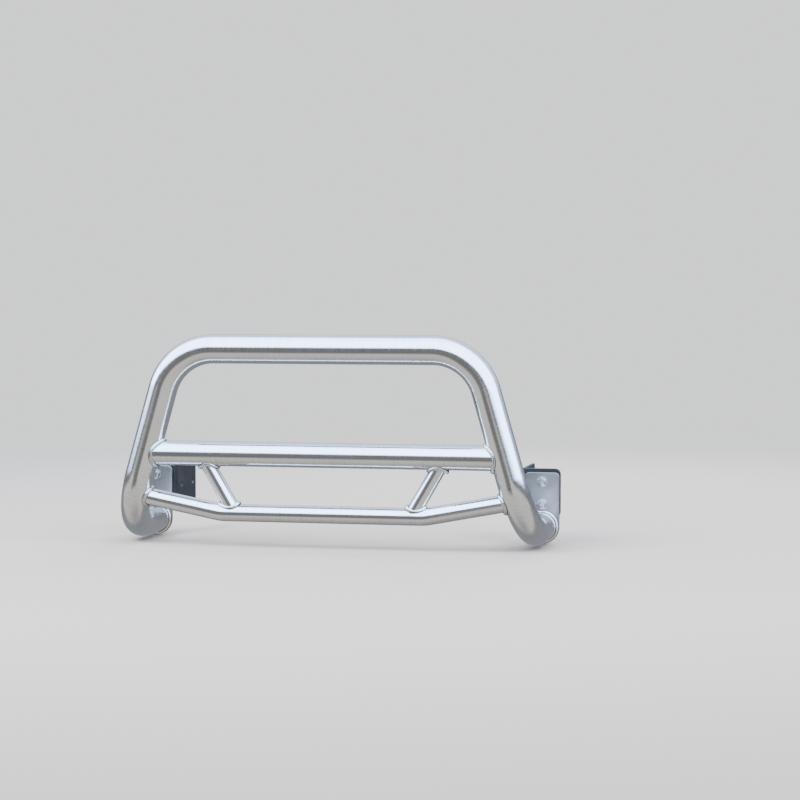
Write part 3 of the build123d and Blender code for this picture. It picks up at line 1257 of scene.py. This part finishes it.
@dataclass
class SheetPart:
    """A flat blank with openings and softened edges, laid or bent into place.

    Fields:
        name: the piece's name.
        cells: the face's patches.
        thickness: the sheet's thickness.
        edge: radius of its softened edges.
        placement: carries (u, v, depth) on the blank to a point.
        edge_steps: steps round a softened edge.
        face_steps: steps from an opening, or a patch's middle, to its border.
    """

    name: str
    cells: list[Cell]
    thickness: float
    edge: float
    placement: Placement
    edge_steps: int = 4
    face_steps: int = 6

    def profile(self) -> tuple[Array, Array]:
        """The edge's section, a quarter circle at each face and straight between.

        Returns:
            Inset from the edge, and depth from the front face, of each row.
        """
        angle = np.linspace(0, np.pi / 2, self.edge_steps + 1)
        inset = self.edge * (1 - np.sin(angle))
        depth = self.edge * (1 - np.cos(angle))
        return np.concatenate([inset, inset[::-1]]), np.concatenate([depth, self.thickness - depth[::-1]])

    def wall(self, rows: list[Array], depths: Array) -> Array:
        """Grid through rows of blank points, each at its own depth.

        Args:
            rows: the rows' points on the blank.
            depths: one depth for each row.

        Returns:
            The grid in its place.
        """
        points = np.stack(rows)
        depth = np.broadcast_to(depths[:, None], points.shape[:2])
        return self.placement(points[..., 0], points[..., 1], depth)

    def piece(self) -> Workpiece:
        """Faces, opening walls and outer edges, joined into one shell.

        Returns:
            The piece, not yet placed.
        """
        piece = Workpiece(self.name)
        insets, depths = self.profile()
        for cell in self.cells:
            border = cell.border(self.edge)
            if cell.opening is None:
                inner = np.tile(np.array(cell.middle), (len(border), 1))
            else:
                inner = cell.opening.rim(border, self.edge)
            flat = between(inner, border, self.face_steps)
            for depth in (0.0, self.thickness):
                grid = self.placement(flat[..., 0], flat[..., 1], np.full(flat.shape[:2], depth))
                piece.add(grid, flat, edge=0.0)
            if cell.opening is not None:
                rows = [cell.opening.rim(border, inset) for inset in insets]
                piece.add(self.wall(rows, depths), edge=1.0)
            for side, outer in zip(cell.sides, cell.outer, strict=True):
                if outer:
                    piece.add(self.wall([side(inset) for inset in insets], depths), edge=1.0)
        return piece


def straight(start: tuple[float, float], end: tuple[float, float], steps: int) -> Array:
    """Evenly spaced points from start to end."""
    return np.linspace(start, end, steps + 1)


def arc(centre: tuple[float, float], radius: float, start: float, end: float, steps: int) -> Array:
    """Evenly spaced points on an arc, with its angles in degrees."""
    angle = np.radians(np.linspace(start, end, steps + 1))
    return np.stack([centre[0] + radius * np.cos(angle), centre[1] + radius * np.sin(angle)], -1)


@dataclass
class MountingPlates:
    """The plates on the hoop's feet: round below, two bolt holes above."""

    corner: float = 10.0 * MM
    hole: float = 6.5 * MM
    bolt_z: float = 25.0 * MM
    edge: float = 0.7 * MM
    side_steps: int = 12
    corner_steps: int = 8
    round_steps: int = 48
    crease: float = 40.0

    def cells(self, half: float, top: float, foot_z: float) -> list[Cell]:
        """Three patches: round each bolt hole, and the round end below them.

        Args:
            half: half the plate's width.
            top: height of its top edge.
            foot_z: height of the round end's centre.

        Returns:
            The patches, with u across from the plate's middle and v upward.
        """
        c = self.corner
        low = -2 * self.bolt_z
        n = self.side_steps
        upper = Cell(
            [
                lambda i: straight((half - i, 0), (half - i, top - c), n),
                lambda i: arc((half - c, top - c), c - i, 0, 90, self.corner_steps),
                lambda i: straight((half - c, top - i), (c - half, top - i), n),
                lambda i: arc((c - half, top - c), c - i, 90, 180, self.corner_steps),
                lambda i: straight((i - half, top - c), (i - half, 0), n),
                lambda i: straight((i - half, 0), (half - i, 0), 2 * n),
            ],
            [True, True, True, True, True, False],
            Opening((0, self.bolt_z), self.hole),
        )
        lower = Cell(
            [
                lambda i: straight((half - i, low), (half - i, 0), 2 * n),
                lambda i: straight((half - i, 0), (i - half, 0), 2 * n),
                lambda i: straight((i - half, 0), (i - half, low), 2 * n),
                lambda i: straight((i - half, low), (half - i, low), 2 * n),
            ],
            [True, False, True, False],
            Opening((0, -self.bolt_z), self.hole),
        )
        round_end = Cell(
            [
                lambda i: straight((half - i, foot_z), (half - i, low), n),
                lambda i: straight((half - i, low), (i - half, low), 2 * n),
                lambda i: straight((i - half, low), (i - half, foot_z), n),
                lambda i: arc((0, foot_z), half - i, 180, 360, self.round_steps),
            ],
            [True, False, True, True],
            middle=(0, foot_z),
        )
        return [upper, lower, round_end]

    def build(self) -> None:
        """One plate on each foot."""
        for hand in Hand:
            node = hand.node("mounting_plate")
            low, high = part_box(node)
            half = (high.x - low.x) / 2
            middle = (low.x + high.x) / 2
            front = low.y

            def placed(u: Array, v: Array, depth: Array) -> Array:
                """Blank point to its place: u across, v up, depth to the rear."""
                return np.stack([middle + u, front + depth, v], -1)

            cells = self.cells(half, high.z, low.z + half)
            part = SheetPart(f"{node}_cut", cells, high.y - low.y, self.edge, placed)
            part.piece().place(node, Body.GUARD, Slot.PLATE, SatinPlate(), self.crease)


@dataclass
class FrameBrackets:
    """The bent angles that carry the guard: two slots in front, two rail holes at the side."""

    thickness: float = 6.0 * MM
    bend_inside: float = 8.0 * MM
    outboard: float = 40.0 * MM
    slot_radius: float = 6.5 * MM
    slot_half_run: float = 8.0 * MM
    slot_z: float = 25.0 * MM
    corner: float = 12.0 * MM
    rail_hole: float = 6.5 * MM
    rail_hole_y: float = 40.0 * MM
    edge: float = 0.7 * MM
    side_steps: int = 14
    corner_steps: int = 8
    bend_steps: int = 16
    crease: float = 40.0

    def cells(self, flange: float, developed: float, depth: float, height: float) -> list[Cell]:
        """Patches of the flat blank, with u from the free edge of the front flange and v upward.

        Args:
            flange: flat width of the front flange.
            developed: length of the bend's middle layer.
            depth: flat length of the side flange.
            height: half the bracket's height.

        Returns:
            The front flange's two patches and the side flange's two patches.
        """
        c = self.corner
        n = self.side_steps
        bend_end = flange + developed
        rear_hole = bend_end + depth - (packed_box[1].y - self.rail_hole_y)
        middle = rear_hole - self.rail_hole_y
        front_hole = rear_hole - 2 * self.rail_hole_y
        end = bend_end + depth

        def upright(u: float, rising: bool) -> Side:
            """A whole upright side at u, in the same two halves as the front flange's patches."""
            def side(i: float) -> Array:
                """The side's points for an inset."""
                low = straight((u, i - height), (u, 0), n)
                points = np.concatenate([low, straight((u, 0), (u, height - i), n)[1:]])
                return points if rising else points[::-1]
            return side

        upper = Cell(
            [
                lambda i: straight((flange, 0), (flange, height - i), n),
                lambda i: straight((flange, height - i), (c, height - i), n),
                lambda i: arc((c, height - c), c - i, 90, 180, self.corner_steps),
                lambda i: straight((i, height - c), (i, 0), n),
                lambda i: straight((i, 0), (flange, 0), 2 * n),
            ],
            [False, True, True, True, False],
            Opening((self.outboard, self.slot_z), self.slot_radius, self.slot_half_run),
        )
        lower = Cell(
            [
                lambda i: straight((flange, 0), (i, 0), 2 * n),
                lambda i: straight((i, 0), (i, c - height), n),
                lambda i: arc((c, c - height), c - i, 180, 270, self.corner_steps),
                lambda i: straight((c, i - height), (flange, i - height), n),
                lambda i: straight((flange, i - height), (flange, 0), n),
            ],
            [False, True, True, True, False],
            Opening((self.outboard, -self.slot_z), self.slot_radius, self.slot_half_run),
        )
        side_front = Cell(
            [
                upright(middle, True),
                lambda i: straight((middle, height - i), (bend_end, height - i), 2 * n),
                upright(bend_end, False),
                lambda i: straight((bend_end, i - height), (middle, i - height), 2 * n),
            ],
            [False, True, False, True],
            Opening((front_hole, 0), self.rail_hole),
        )
        side_rear = Cell(
            [
                lambda i: straight((end - i, c - height), (end - i, height - c), 2 * n),
                lambda i: arc((end - c, height - c), c - i, 0, 90, self.corner_steps),
                lambda i: straight((end - c, height - i), (middle, height - i), 2 * n),
                upright(middle, False),
                lambda i: straight((middle, i - height), (end - c, i - height), 2 * n),
                lambda i: arc((end - c, c - height), c - i, 270, 360, self.corner_steps),
            ],
            [True, True, True, False, True, True],
            Opening((rear_hole, 0), self.rail_hole),
        )
        return [upper, lower, side_front, side_rear]

    def bend(self, part: SheetPart, piece: Workpiece, flange: float, developed: float, height: float) -> None:
        """Add the bend between the flanges: both faces and both edges, up and down.

        Args:
            part: the sheet part that it belongs to.
            piece: the piece that it is added to.
            flange: flat width of the front flange.
            developed: length of the bend's middle layer.
            height: half the bracket's height.
        """
        insets, depths = part.profile()
        across = np.linspace(flange, flange + developed, self.bend_steps + 1)
        upper = np.linspace(0, height - part.edge, self.side_steps + 1)
        lower = np.linspace(part.edge - height, 0, self.side_steps + 1)
        u, v = np.meshgrid(across, np.concatenate([lower, upper[1:]]), indexing="ij")
        for depth in (0.0, part.thickness):
            piece.add(part.placement(u, v, np.full(u.shape, depth)), np.stack([u, v], -1), edge=0.0)
        for sign in (-1, 1):
            flat = np.ones(len(across))
            rows = [np.stack([across, sign * (height - inset) * flat], -1) for inset in insets]
            piece.add(part.wall(rows, depths), edge=1.0)

    def build(self) -> None:
        """One bracket on each side, folded from its flat blank."""
        for hand in Hand:
            node = hand.node("frame_bracket")
            low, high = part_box(node)
            outer_bend = self.bend_inside + self.thickness
            flange = (high.x - low.x) - outer_bend
            side = (high.y - low.y) - outer_bend
            developed = (self.bend_inside + self.thickness / 2) * np.pi / 2
            free_x = max(abs(low.x), abs(high.x))
            front = low.y
            sign = hand.value

            def folded(u: Array, v: Array, depth: Array) -> Array:
                """Blank point to its place: flat in front, round the bend, then flat to the rear."""
                turn = np.clip((u - flange) / developed, 0, 1) * np.pi / 2
                radius = outer_bend - depth
                before = np.minimum(u, flange)
                after = np.maximum(u - flange - developed, 0)
                x = free_x - before - radius * np.sin(turn)
                y = front + outer_bend - radius * np.cos(turn) + after
                return np.stack([sign * x, y, v], -1)

            cells = self.cells(flange, developed, side, high.z)
            part = SheetPart(f"{node}_bent", cells, self.thickness, self.edge, folded)
            piece = part.piece()
            self.bend(part, piece, flange, developed, high.z)
            piece.place(node, Body.BRACKETS, Slot.COATING, BlackPowderCoat(), self.crease)


# ---- Fasteners ----


@dataclass
class Fasteners:
    """The four bolted joints between mounting plates and brackets.

    Fields:
        corner_wear: radius of a hexagon's corners, as a share of sharp ones.
        head_face, nut_face: radius of the flat face, as a share of the circle inside the flats.
        dish_share: radius of the shallow dish in a head's front, as a share of its flat face.
        thread_slope, thread_crest: the groove's depth is slope * f - crest, held to 0 to 1, with f
            the share of the way from a crest to a root.
        flat_crowding: how much closer together the mesh's lines are at the middles of the flats.
        thread_clearance: between the nuts' bores and the bolts.
        bore_clearance: between the washers' bores and the bolts.
        face_gap: between a flat washer's faces and what they are clamped to.
        split_slant: lean of the spring washer's gap, in degrees.
    """

    bolt_radius: float = 6.0 * MM
    across_flats: float = 18.0 * MM
    corner_wear: float = 0.992
    flat_crowding: float = 0.09
    cone_angle: float = 30.0
    head_height: float = 7.5 * MM
    head_face: float = 0.93
    washer_face: float = 0.5 * MM
    face_dish: float = 0.02 * MM
    dish_share: float = 0.55
    bolt_length: float = 35.0 * MM
    plain_length: float = 17.0 * MM
    thread_pitch: float = 1.75 * MM
    thread_depth: float = 1.05 * MM
    thread_slope: float = 1.25
    thread_crest: float = 0.12
    thread_steps: int = 8
    end_chamfer: float = 1.2 * MM
    end_taper: float = 1.1 * MM
    nut_height: float = 10.8 * MM
    nut_face: float = 0.95
    countersink: float = 0.7 * MM
    thread_clearance: float = 0.03 * MM
    bore_clearance: float = 0.4 * MM
    washer_radius: float = 12.0 * MM
    washer_thickness: float = 2.5 * MM
    washer_edge: float = 0.35 * MM
    face_gap: float = 0.03 * MM
    spring_radius: float = 10.5 * MM
    spring_thickness: float = 3.0 * MM
    spring_edge: float = 0.3 * MM
    split_gap: float = 1.6 * MM
    split_slant: float = 25.0
    around: int = 96
    crease: float = 32.0

    def spokes(self, angle: Array) -> Array:
        """Unit vectors square to Y, from straight up towards +X."""
        return np.sin(angle)[..., None] * ACROSS + np.cos(angle)[..., None] * UP

    def turned_grid(self, centre: Array, radius: Array, height: Array, angle: Array) -> Array:
        """Points round an axis along Y: centre + height rearward + radius at the angle.

        Args:
            centre: where the axis starts.
            radius: rows by columns.
            height: rows by columns.
            angle: columns, or rows by columns.

        Returns:
            The grid.
        """
        return centre + radius[..., None] * self.spokes(angle) + height[..., None] * REAR

    def hexagon(self, angle: Array) -> Array:
        """Radius of a hexagon with slightly worn corners, the first straight up.

        Args:
            angle: angles round it.

        Returns:
            One radius for each angle.
        """
        sector = TURN / 6
        offset = np.mod(angle, sector) - sector / 2
        sharp = self.across_flats / 2 / np.cos(offset)
        corner = self.across_flats / 2 / math.cos(sector / 2)
        return np.minimum(sharp, corner * self.corner_wear)

    def hex_angles(self) -> Array:
        """Angles round a hexagon, a little closer together at the middles of its flats."""
        even = np.linspace(0, TURN, self.around + 1)
        return even + self.flat_crowding * np.sin(6 * even) / 6

    def hex_rows(self, angle: Array, bottom: float, top: float, face: float) -> tuple[Array, Array]:
        """Side of a hexagon whose corners are turned down to a cone at the top.

        The side's upper edge falls by the tangent of the cone's angle for each step of radius
        beyond the flat face.

        Args:
            angle: columns.
            bottom: height of the lower edge.
            top: height of the upper face.
            face: radius of the flat face, as a share of the circle inside the flats.

        Returns:
            Radius and height, rows by columns, from the lower edge to the rim of the flat face.
        """
        one = np.ones(angle.shape)
        side = self.hexagon(angle)
        ring = face * self.across_flats / 2 * one
        fall = np.tan(np.radians(self.cone_angle)) * np.sign(top - bottom)
        shoulder = top - (side - ring) * fall
        radius = np.stack([side, side, (side + ring) / 2, ring])
        height = np.stack([bottom * one, shoulder, (shoulder + top) / 2, top * one])
        return radius, height

    def pair(self, hand: Hand, node: str, suffix: str, make: Callable[[Workpiece, Array], None]) -> None:
        """Two equal fasteners, upper and lower, as one piece.

        Args:
            hand: the side.
            node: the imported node, without its side.
            suffix: ends the piece's name.
            make: adds one fastener to the piece, with its axis starting at a point.
        """
        name = hand.node(node)
        low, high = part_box(name)
        half = self.across_flats / 2 if node.startswith("hex") else (high.x - low.x) / 2
        piece = Workpiece(f"{name}_{suffix}")
        for z in (high.z - half, low.z + half):
            make(piece, np.array([(low.x + high.x) / 2, low.y, z]))
        piece.place(name, Body.GUARD, Slot.FASTENER, ZincPlate(), self.crease)

    def bolt(self, piece: Workpiece, centre: Array) -> None:
        """Bolt: chamfered head with a washer face, plain shank, rolled thread, chamfered end.

        The thread is a V groove whose depth is taken from the share of a turn between the
        point's place along the bolt and its angle; it runs in over one pitch and is cut off by
        the end's chamfer.

        Args:
            piece: the piece that it is added to.
            centre: the middle of the head's front face.
        """
        angle = self.hex_angles()
        one = np.ones(angle.shape)
        face = self.head_face * self.across_flats / 2 * one
        seat = self.head_height
        radius, height = self.hex_rows(angle, seat - self.washer_face, 0.0, self.head_face)
        dish = self.face_dish * one
        radius = np.stack([face, face, *radius, self.dish_share * face, 0 * one])
        height = np.stack([seat * one, (seat - self.washer_face) * one, *height, dish, dish])
        piece.add(self.turned_grid(centre, radius, height, angle))
        start = seat + self.plain_length
        end = seat + self.bolt_length
        rows = math.ceil((end - start) / self.thread_pitch * self.thread_steps)
        along = np.linspace(start, end, rows + 1)[:, None]
        turn = (along - start) / self.thread_pitch - angle[None] / TURN
        groove = np.abs(2 * (turn - np.floor(turn)) - 1)
        groove = np.clip(self.thread_slope * groove - self.thread_crest, 0, 1)
        run_in = np.clip((along - start) / self.thread_pitch, 0, 1)
        chamfer = np.clip((along - (end - self.end_chamfer)) / self.end_chamfer, 0, 1)
        cut = self.bolt_radius - self.thread_depth * groove * run_in
        thread = np.minimum(cut, self.bolt_radius - chamfer * self.end_taper)
        shank = self.bolt_radius * one
        radius = np.stack([face, shank, shank, *thread, 0 * one])
        height = np.stack([seat * one, seat * one, (start - MM) * one, *(along * one), end * one])
        piece.add(self.turned_grid(centre, radius, height, angle))

    def nut(self, piece: Workpiece, centre: Array) -> None:
        """Nut: both faces chamfered, countersunk bore.

        Args:
            piece: the piece that it is added to.
            centre: the middle of its front face.
        """
        tall = self.nut_height
        sunk = self.countersink
        angle = self.hex_angles()
        one = np.ones(angle.shape)
        up_radius, up_height = self.hex_rows(angle, tall / 2, tall, self.nut_face)
        down_radius, down_height = self.hex_rows(angle, tall / 2, 0.0, self.nut_face)
        bore = (self.bolt_radius + self.thread_clearance) * one
        mouth = bore + sunk
        radius = [mouth, *up_radius[::-1], *down_radius[1:], mouth, bore, bore, mouth]
        inner = [0 * one, sunk * one, (tall - sunk) * one, tall * one]
        height = [tall * one, *up_height[::-1], *down_height[1:], *inner]
        piece.add(self.turned_grid(centre, np.stack(radius), np.stack(height), angle))

    def ring_profile(self, outer: float, thickness: float, soft: float) -> tuple[Array, Array]:
        """Closed section of a washer with softened corners.

        Args:
            outer: its outer radius.
            thickness: its thickness.
            soft: radius of its corners.

        Returns:
            Radius and height of the section's points.
        """
        bore = self.bolt_radius + self.bore_clearance
        quarter = np.linspace(0, np.pi / 2, 4)
        radius, height = [], []
        for x, y, start in ((outer, thickness, 0), (bore, thickness, 1), (bore, 0, 2), (outer, 0, 3)):
            turn = quarter + start * np.pi / 2
            hub_x = x + soft * (-1 if x == outer else 1)
            hub_y = y + soft * (-1 if y == thickness else 1)
            radius.append(hub_x + soft * np.cos(turn))
            height.append(hub_y + soft * np.sin(turn))
        radius, height = np.concatenate(radius), np.concatenate(height)
        return np.append(radius, radius[0]), np.append(height, height[0])

    def flat_washer(self, piece: Workpiece, centre: Array) -> None:
        """Punched flat washer.

        Args:
            piece: the piece that it is added to.
            centre: the middle of the face that it is clamped to in front.
        """
        thickness = self.washer_thickness - 2 * self.face_gap
        radius, height = self.ring_profile(self.washer_radius, thickness, self.washer_edge)
        angle = np.linspace(0, TURN, self.around + 1)
        one = np.ones(angle.shape)
        height = (height + self.face_gap)[:, None] * one
        piece.add(self.turned_grid(centre, radius[:, None] * one, height, angle))

    def spring_washer(self, piece: Workpiece, centre: Array) -> None:
        """Split spring washer, squeezed flat, with a slanting gap at its top.

        Args:
            piece: the piece that it is added to.
            centre: the middle of its front face.
        """
        radius, height = self.ring_profile(self.spring_radius, self.spring_thickness, self.spring_edge)
        share = np.linspace(0, 1, self.around + 1)[None]
        slant = math.tan(math.radians(self.split_slant))
        lean = (height[:, None] - self.spring_thickness / 2) * slant
        start = (self.split_gap / 2 + lean) / radius[:, None]
        stop = TURN - (self.split_gap / 2 - lean) / radius[:, None]
        angle = start * (1 - share) + stop * share
        ring = self.turned_grid(centre, radius[:, None], height[:, None], angle)
        piece.add(ring)
        for column in (0, -1):
            rim = ring[:, column]
            middle = np.broadcast_to(rim[:-1].mean(0), rim.shape)
            piece.add(np.stack([rim, middle]))

    def build(self) -> None:
        """Both sides' bolts, washers and nuts."""
        for hand in Hand:
            self.pair(hand, "hex_bolts", "threaded", self.bolt)
            self.pair(hand, "hex_nuts", "chamfered", self.nut)
            self.pair(hand, "front_washers", "punched", self.flat_washer)
            self.pair(hand, "rear_washers", "punched", self.flat_washer)
            self.pair(hand, "spring_washers", "split", self.spring_washer)


# ---- Studio ----


@dataclass(frozen=True)
class Lamp:
    """A large square soft light: its name, place, side, power in watts and colour."""

    name: str
    place: Point
    side: float
    power: float
    colour: Colour


@dataclass
class Studio:
    """Pale floor, soft sky, a few large soft lights and the camera.

    The surroundings are plain bands of light by height: a bright bluish sky, a thin dark rim
    where the ground begins, and a warm grey ground that grows darker straight below. In front, a
    dark low shape stands left of the middle. The sky behind is duller, above a wall.

    Fields:
        left_sky_drop: how far the whole sky is lowered at the far left, in degrees.
        right_sky_drop: the same, at the right.
        rear_share: how much of the rear's own light is mixed in.

    A reach gives where something starts and ends, as a share of the view's unit vector across
    (X), back (Y) or up (Z).
    """

    floor_gap: float = 0.5 * MM
    floor_inner: float = 1.3
    floor_outer: float = 3.4
    floor_clear: float = 0.96
    floor_rings: int = 24
    floor_facets: int = 96
    floor_colour: Colour = (0.244, 0.204, 0.163)
    backdrop: Colour = (1.22, 1.24, 1.27)
    low_shape: Colour = (0.23, 0.226, 0.226)
    rear_wall: Colour = (0.26, 0.28, 0.32)
    rear_sky: Colour = (0.80, 0.93, 1.08)
    rear_share: float = 0.9
    left_sky_drop: float = 9.0
    right_sky_drop: float = 7.5
    left_reach: Reach = (-0.93, -0.76)
    right_reach: Reach = (0.22, 0.5)
    shape_front: Reach = (-0.35, -0.15)
    shape_left: Reach = (-0.66, -0.42)
    shape_right: Reach = (-0.10, 0.08)
    shape_foot: Reach = (-0.58, -0.36)
    shape_top: Reach = (0.10, 0.16)
    rear_start: Reach = (0.08, 0.40)
    rear_top: Reach = (0.93, 0.99)
    wall_top: Reach = (0.1, 0.6)
    camera_place: Point = (1.182, -4.926, 0.460)
    camera_aim: Point = (0.1713, -0.301, 0.2125)
    lamp_aim: Point = (0.0, -0.2, 0.1)
    lens: float = 100.06
    sensor: float = 36.0
    far_clip: float = 100.0
    lamps: tuple[Lamp, ...] = (
        Lamp("key", (-1.6, -2.6, 2.6), 1.6, 420.0, (1.0, 0.985, 0.96)),
        Lamp("fill", (2.4, -1.4, 1.9), 1.8, 160.0, (0.95, 0.98, 1.0)),
        Lamp("rear", (0.6, 2.6, 2.2), 1.8, 200.0, (1.0, 1.0, 1.0)),
    )

    def sky_stops(self) -> list[tuple[float, Colour]]:
        """Light by height: degrees above the horizon, carried to the ramp's 0 to 1.

        Returns:
            The ramp's places and their colours, from straight down to straight up.
        """
        bands = [
            (-90, (0.42, 0.42, 0.415)),
            (-76, (0.53, 0.525, 0.515)),
            (-54, (0.76, 0.75, 0.735)),
            (-26, (0.84, 0.83, 0.815)),
            (-2, (0.88, 0.875, 0.865)),
            (3, (0.44, 0.44, 0.44)),
            (6, (0.24, 0.236, 0.236)),
            (12, (0.24, 0.238, 0.24)),
            (16, (1.6, 2.1, 3.0)),
            (20, (5.2, 7.2, 11.2)),
            (58, (5.4, 7.4, 11.2)),
            (90, (4.0, 5.2, 7.2)),
        ]
        return [((height + 90) / 180, colour) for height, colour in bands]

    def sky(self) -> None:
        """World light: bands by height, a dark low shape in front, and a duller sky behind."""
        world = bpy.data.worlds.new("studio_sky")
        bpy.context.scene.world = world
        nodes = Graph(world)
        direction = nodes.node("ShaderNodeTexCoord").outputs["Generated"]
        across, back, up = nodes.node("ShaderNodeSeparateXYZ", {0: direction}).outputs
        left_drop = nodes.spread(across, *self.left_reach, self.left_sky_drop / 180, 0.0)
        right_drop = nodes.spread(across, *self.right_reach, 0.0, self.right_sky_drop / 180)
        height = nodes.math("MULTIPLY_ADD", nodes.math("ARCSINE", up), 1 / np.pi, 0.5)
        height = nodes.math("ADD", height, nodes.math("ADD", left_drop, right_drop))
        bands = nodes.ramp(height, self.sky_stops())
        shape = nodes.spread(back, *self.shape_front, 1.0, 0.0)
        shape = nodes.math("MULTIPLY", shape, nodes.spread(across, *self.shape_left))
        shape = nodes.math("MULTIPLY", shape, nodes.spread(across, *self.shape_right, 1.0, 0.0))
        shape = nodes.math("MULTIPLY", shape, nodes.spread(up, *self.shape_foot))
        shape = nodes.math("MULTIPLY", shape, nodes.spread(up, *self.shape_top, 1.0, 0.0))
        bands = nodes.mix(shape, bands, self.low_shape)
        behind = nodes.spread(back, *self.rear_start)
        behind = nodes.math("MULTIPLY", behind, nodes.spread(up, *self.rear_top, 1.0, 0.0))
        rear = nodes.mix(nodes.spread(up, *self.wall_top), self.rear_wall, self.rear_sky)
        bands = nodes.mix(nodes.math("MULTIPLY", behind, self.rear_share), bands, rear)
        seen = nodes.node("ShaderNodeLightPath").outputs["Is Camera Ray"]
        colour = nodes.mix(seen, bands, self.backdrop)
        light = nodes.node("ShaderNodeBackground", {"Color": colour, "Strength": 1.0})
        nodes.node("ShaderNodeOutputWorld", {"Surface": light.outputs[0]})

    def floor(self) -> None:
        """Round pale floor that fades into the backdrop towards its rim: rings round the middle."""
        radius = np.linspace(0, self.floor_outer, self.floor_rings + 1)[:, None]
        angle = np.linspace(0, TURN, self.floor_facets + 1)[None]
        z = packed_box[0].z - self.floor_gap
        grid = np.stack([radius * np.cos(angle), radius * np.sin(angle), z + 0 * radius * angle], -1)
        index = np.arange(grid[..., 0].size).reshape(grid.shape[:2])
        corners = [index[:-1, :-1], index[1:, :-1], index[1:, 1:], index[:-1, 1:]]
        mesh = bpy.data.meshes.new("floor")
        mesh.from_pydata(grid.reshape(-1, 3), [], np.stack(corners, -1).reshape(-1, 4))
        floor = bpy.data.objects.new("floor", mesh)
        bpy.context.scene.collection.objects.link(floor)
        floor.visible_glossy = False
        material = bpy.data.materials.new("pale_floor")
        nodes = Graph(material)
        reach = nodes.node("ShaderNodeVectorMath", {0: nodes.place()}, operation="LENGTH").outputs["Value"]
        fade = nodes.spread(reach, self.floor_inner, self.floor_outer * self.floor_clear)
        pale = nodes.node("ShaderNodeBsdfDiffuse", {"Color": (*self.floor_colour, 1.0)})
        clear = nodes.node("ShaderNodeBsdfTransparent")
        shader = nodes.node("ShaderNodeMixShader", {0: fade, 1: pale.outputs[0], 2: clear.outputs[0]})
        nodes.finish(shader)
        mesh.materials.append(material)

    def light(self, lamp: Lamp) -> None:
        """Set up one lamp, aimed at the guard and not mirrored by it.

        Args:
            lamp: its sizes.
        """
        data = bpy.data.lights.new(lamp.name, "AREA")
        data.size = lamp.side
        data.energy = lamp.power
        data.color = lamp.colour
        holder = bpy.data.objects.new(lamp.name, data)
        holder.location = lamp.place
        holder.visible_glossy = False
        aim = Vector(self.lamp_aim) - Vector(lamp.place)
        holder.rotation_euler = aim.to_track_quat("-Z", "Y").to_euler()
        bpy.context.scene.collection.objects.link(holder)

    def camera(self) -> None:
        """The camera, level, in front and a little to the right."""
        data = bpy.data.cameras.new("camera")
        data.lens = self.lens
        data.sensor_width = self.sensor
        data.clip_end = self.far_clip
        camera = bpy.data.objects.new("camera", data)
        camera.location = self.camera_place
        aim = Vector(self.camera_aim) - Vector(self.camera_place)
        camera.rotation_euler = aim.to_track_quat("-Z", "Y").to_euler()
        bpy.context.scene.collection.objects.link(camera)
        bpy.context.scene.camera = camera

    def build(self) -> None:
        """Set the whole studio."""
        self.sky()
        self.floor()
        for lamp in self.lamps:
            self.light(lamp)
        self.camera()


def main() -> None:
    """Build every piece and the studio, in order; each piece is reported as it is placed."""
    logging.basicConfig(level=logging.INFO, format="%(name)s: %(message)s")
    Guard().build()
    MountingPlates().build()
    FrameBrackets().build()
    Fasteners().build()
    Studio().build()


if __name__ == "__main__":
    main()
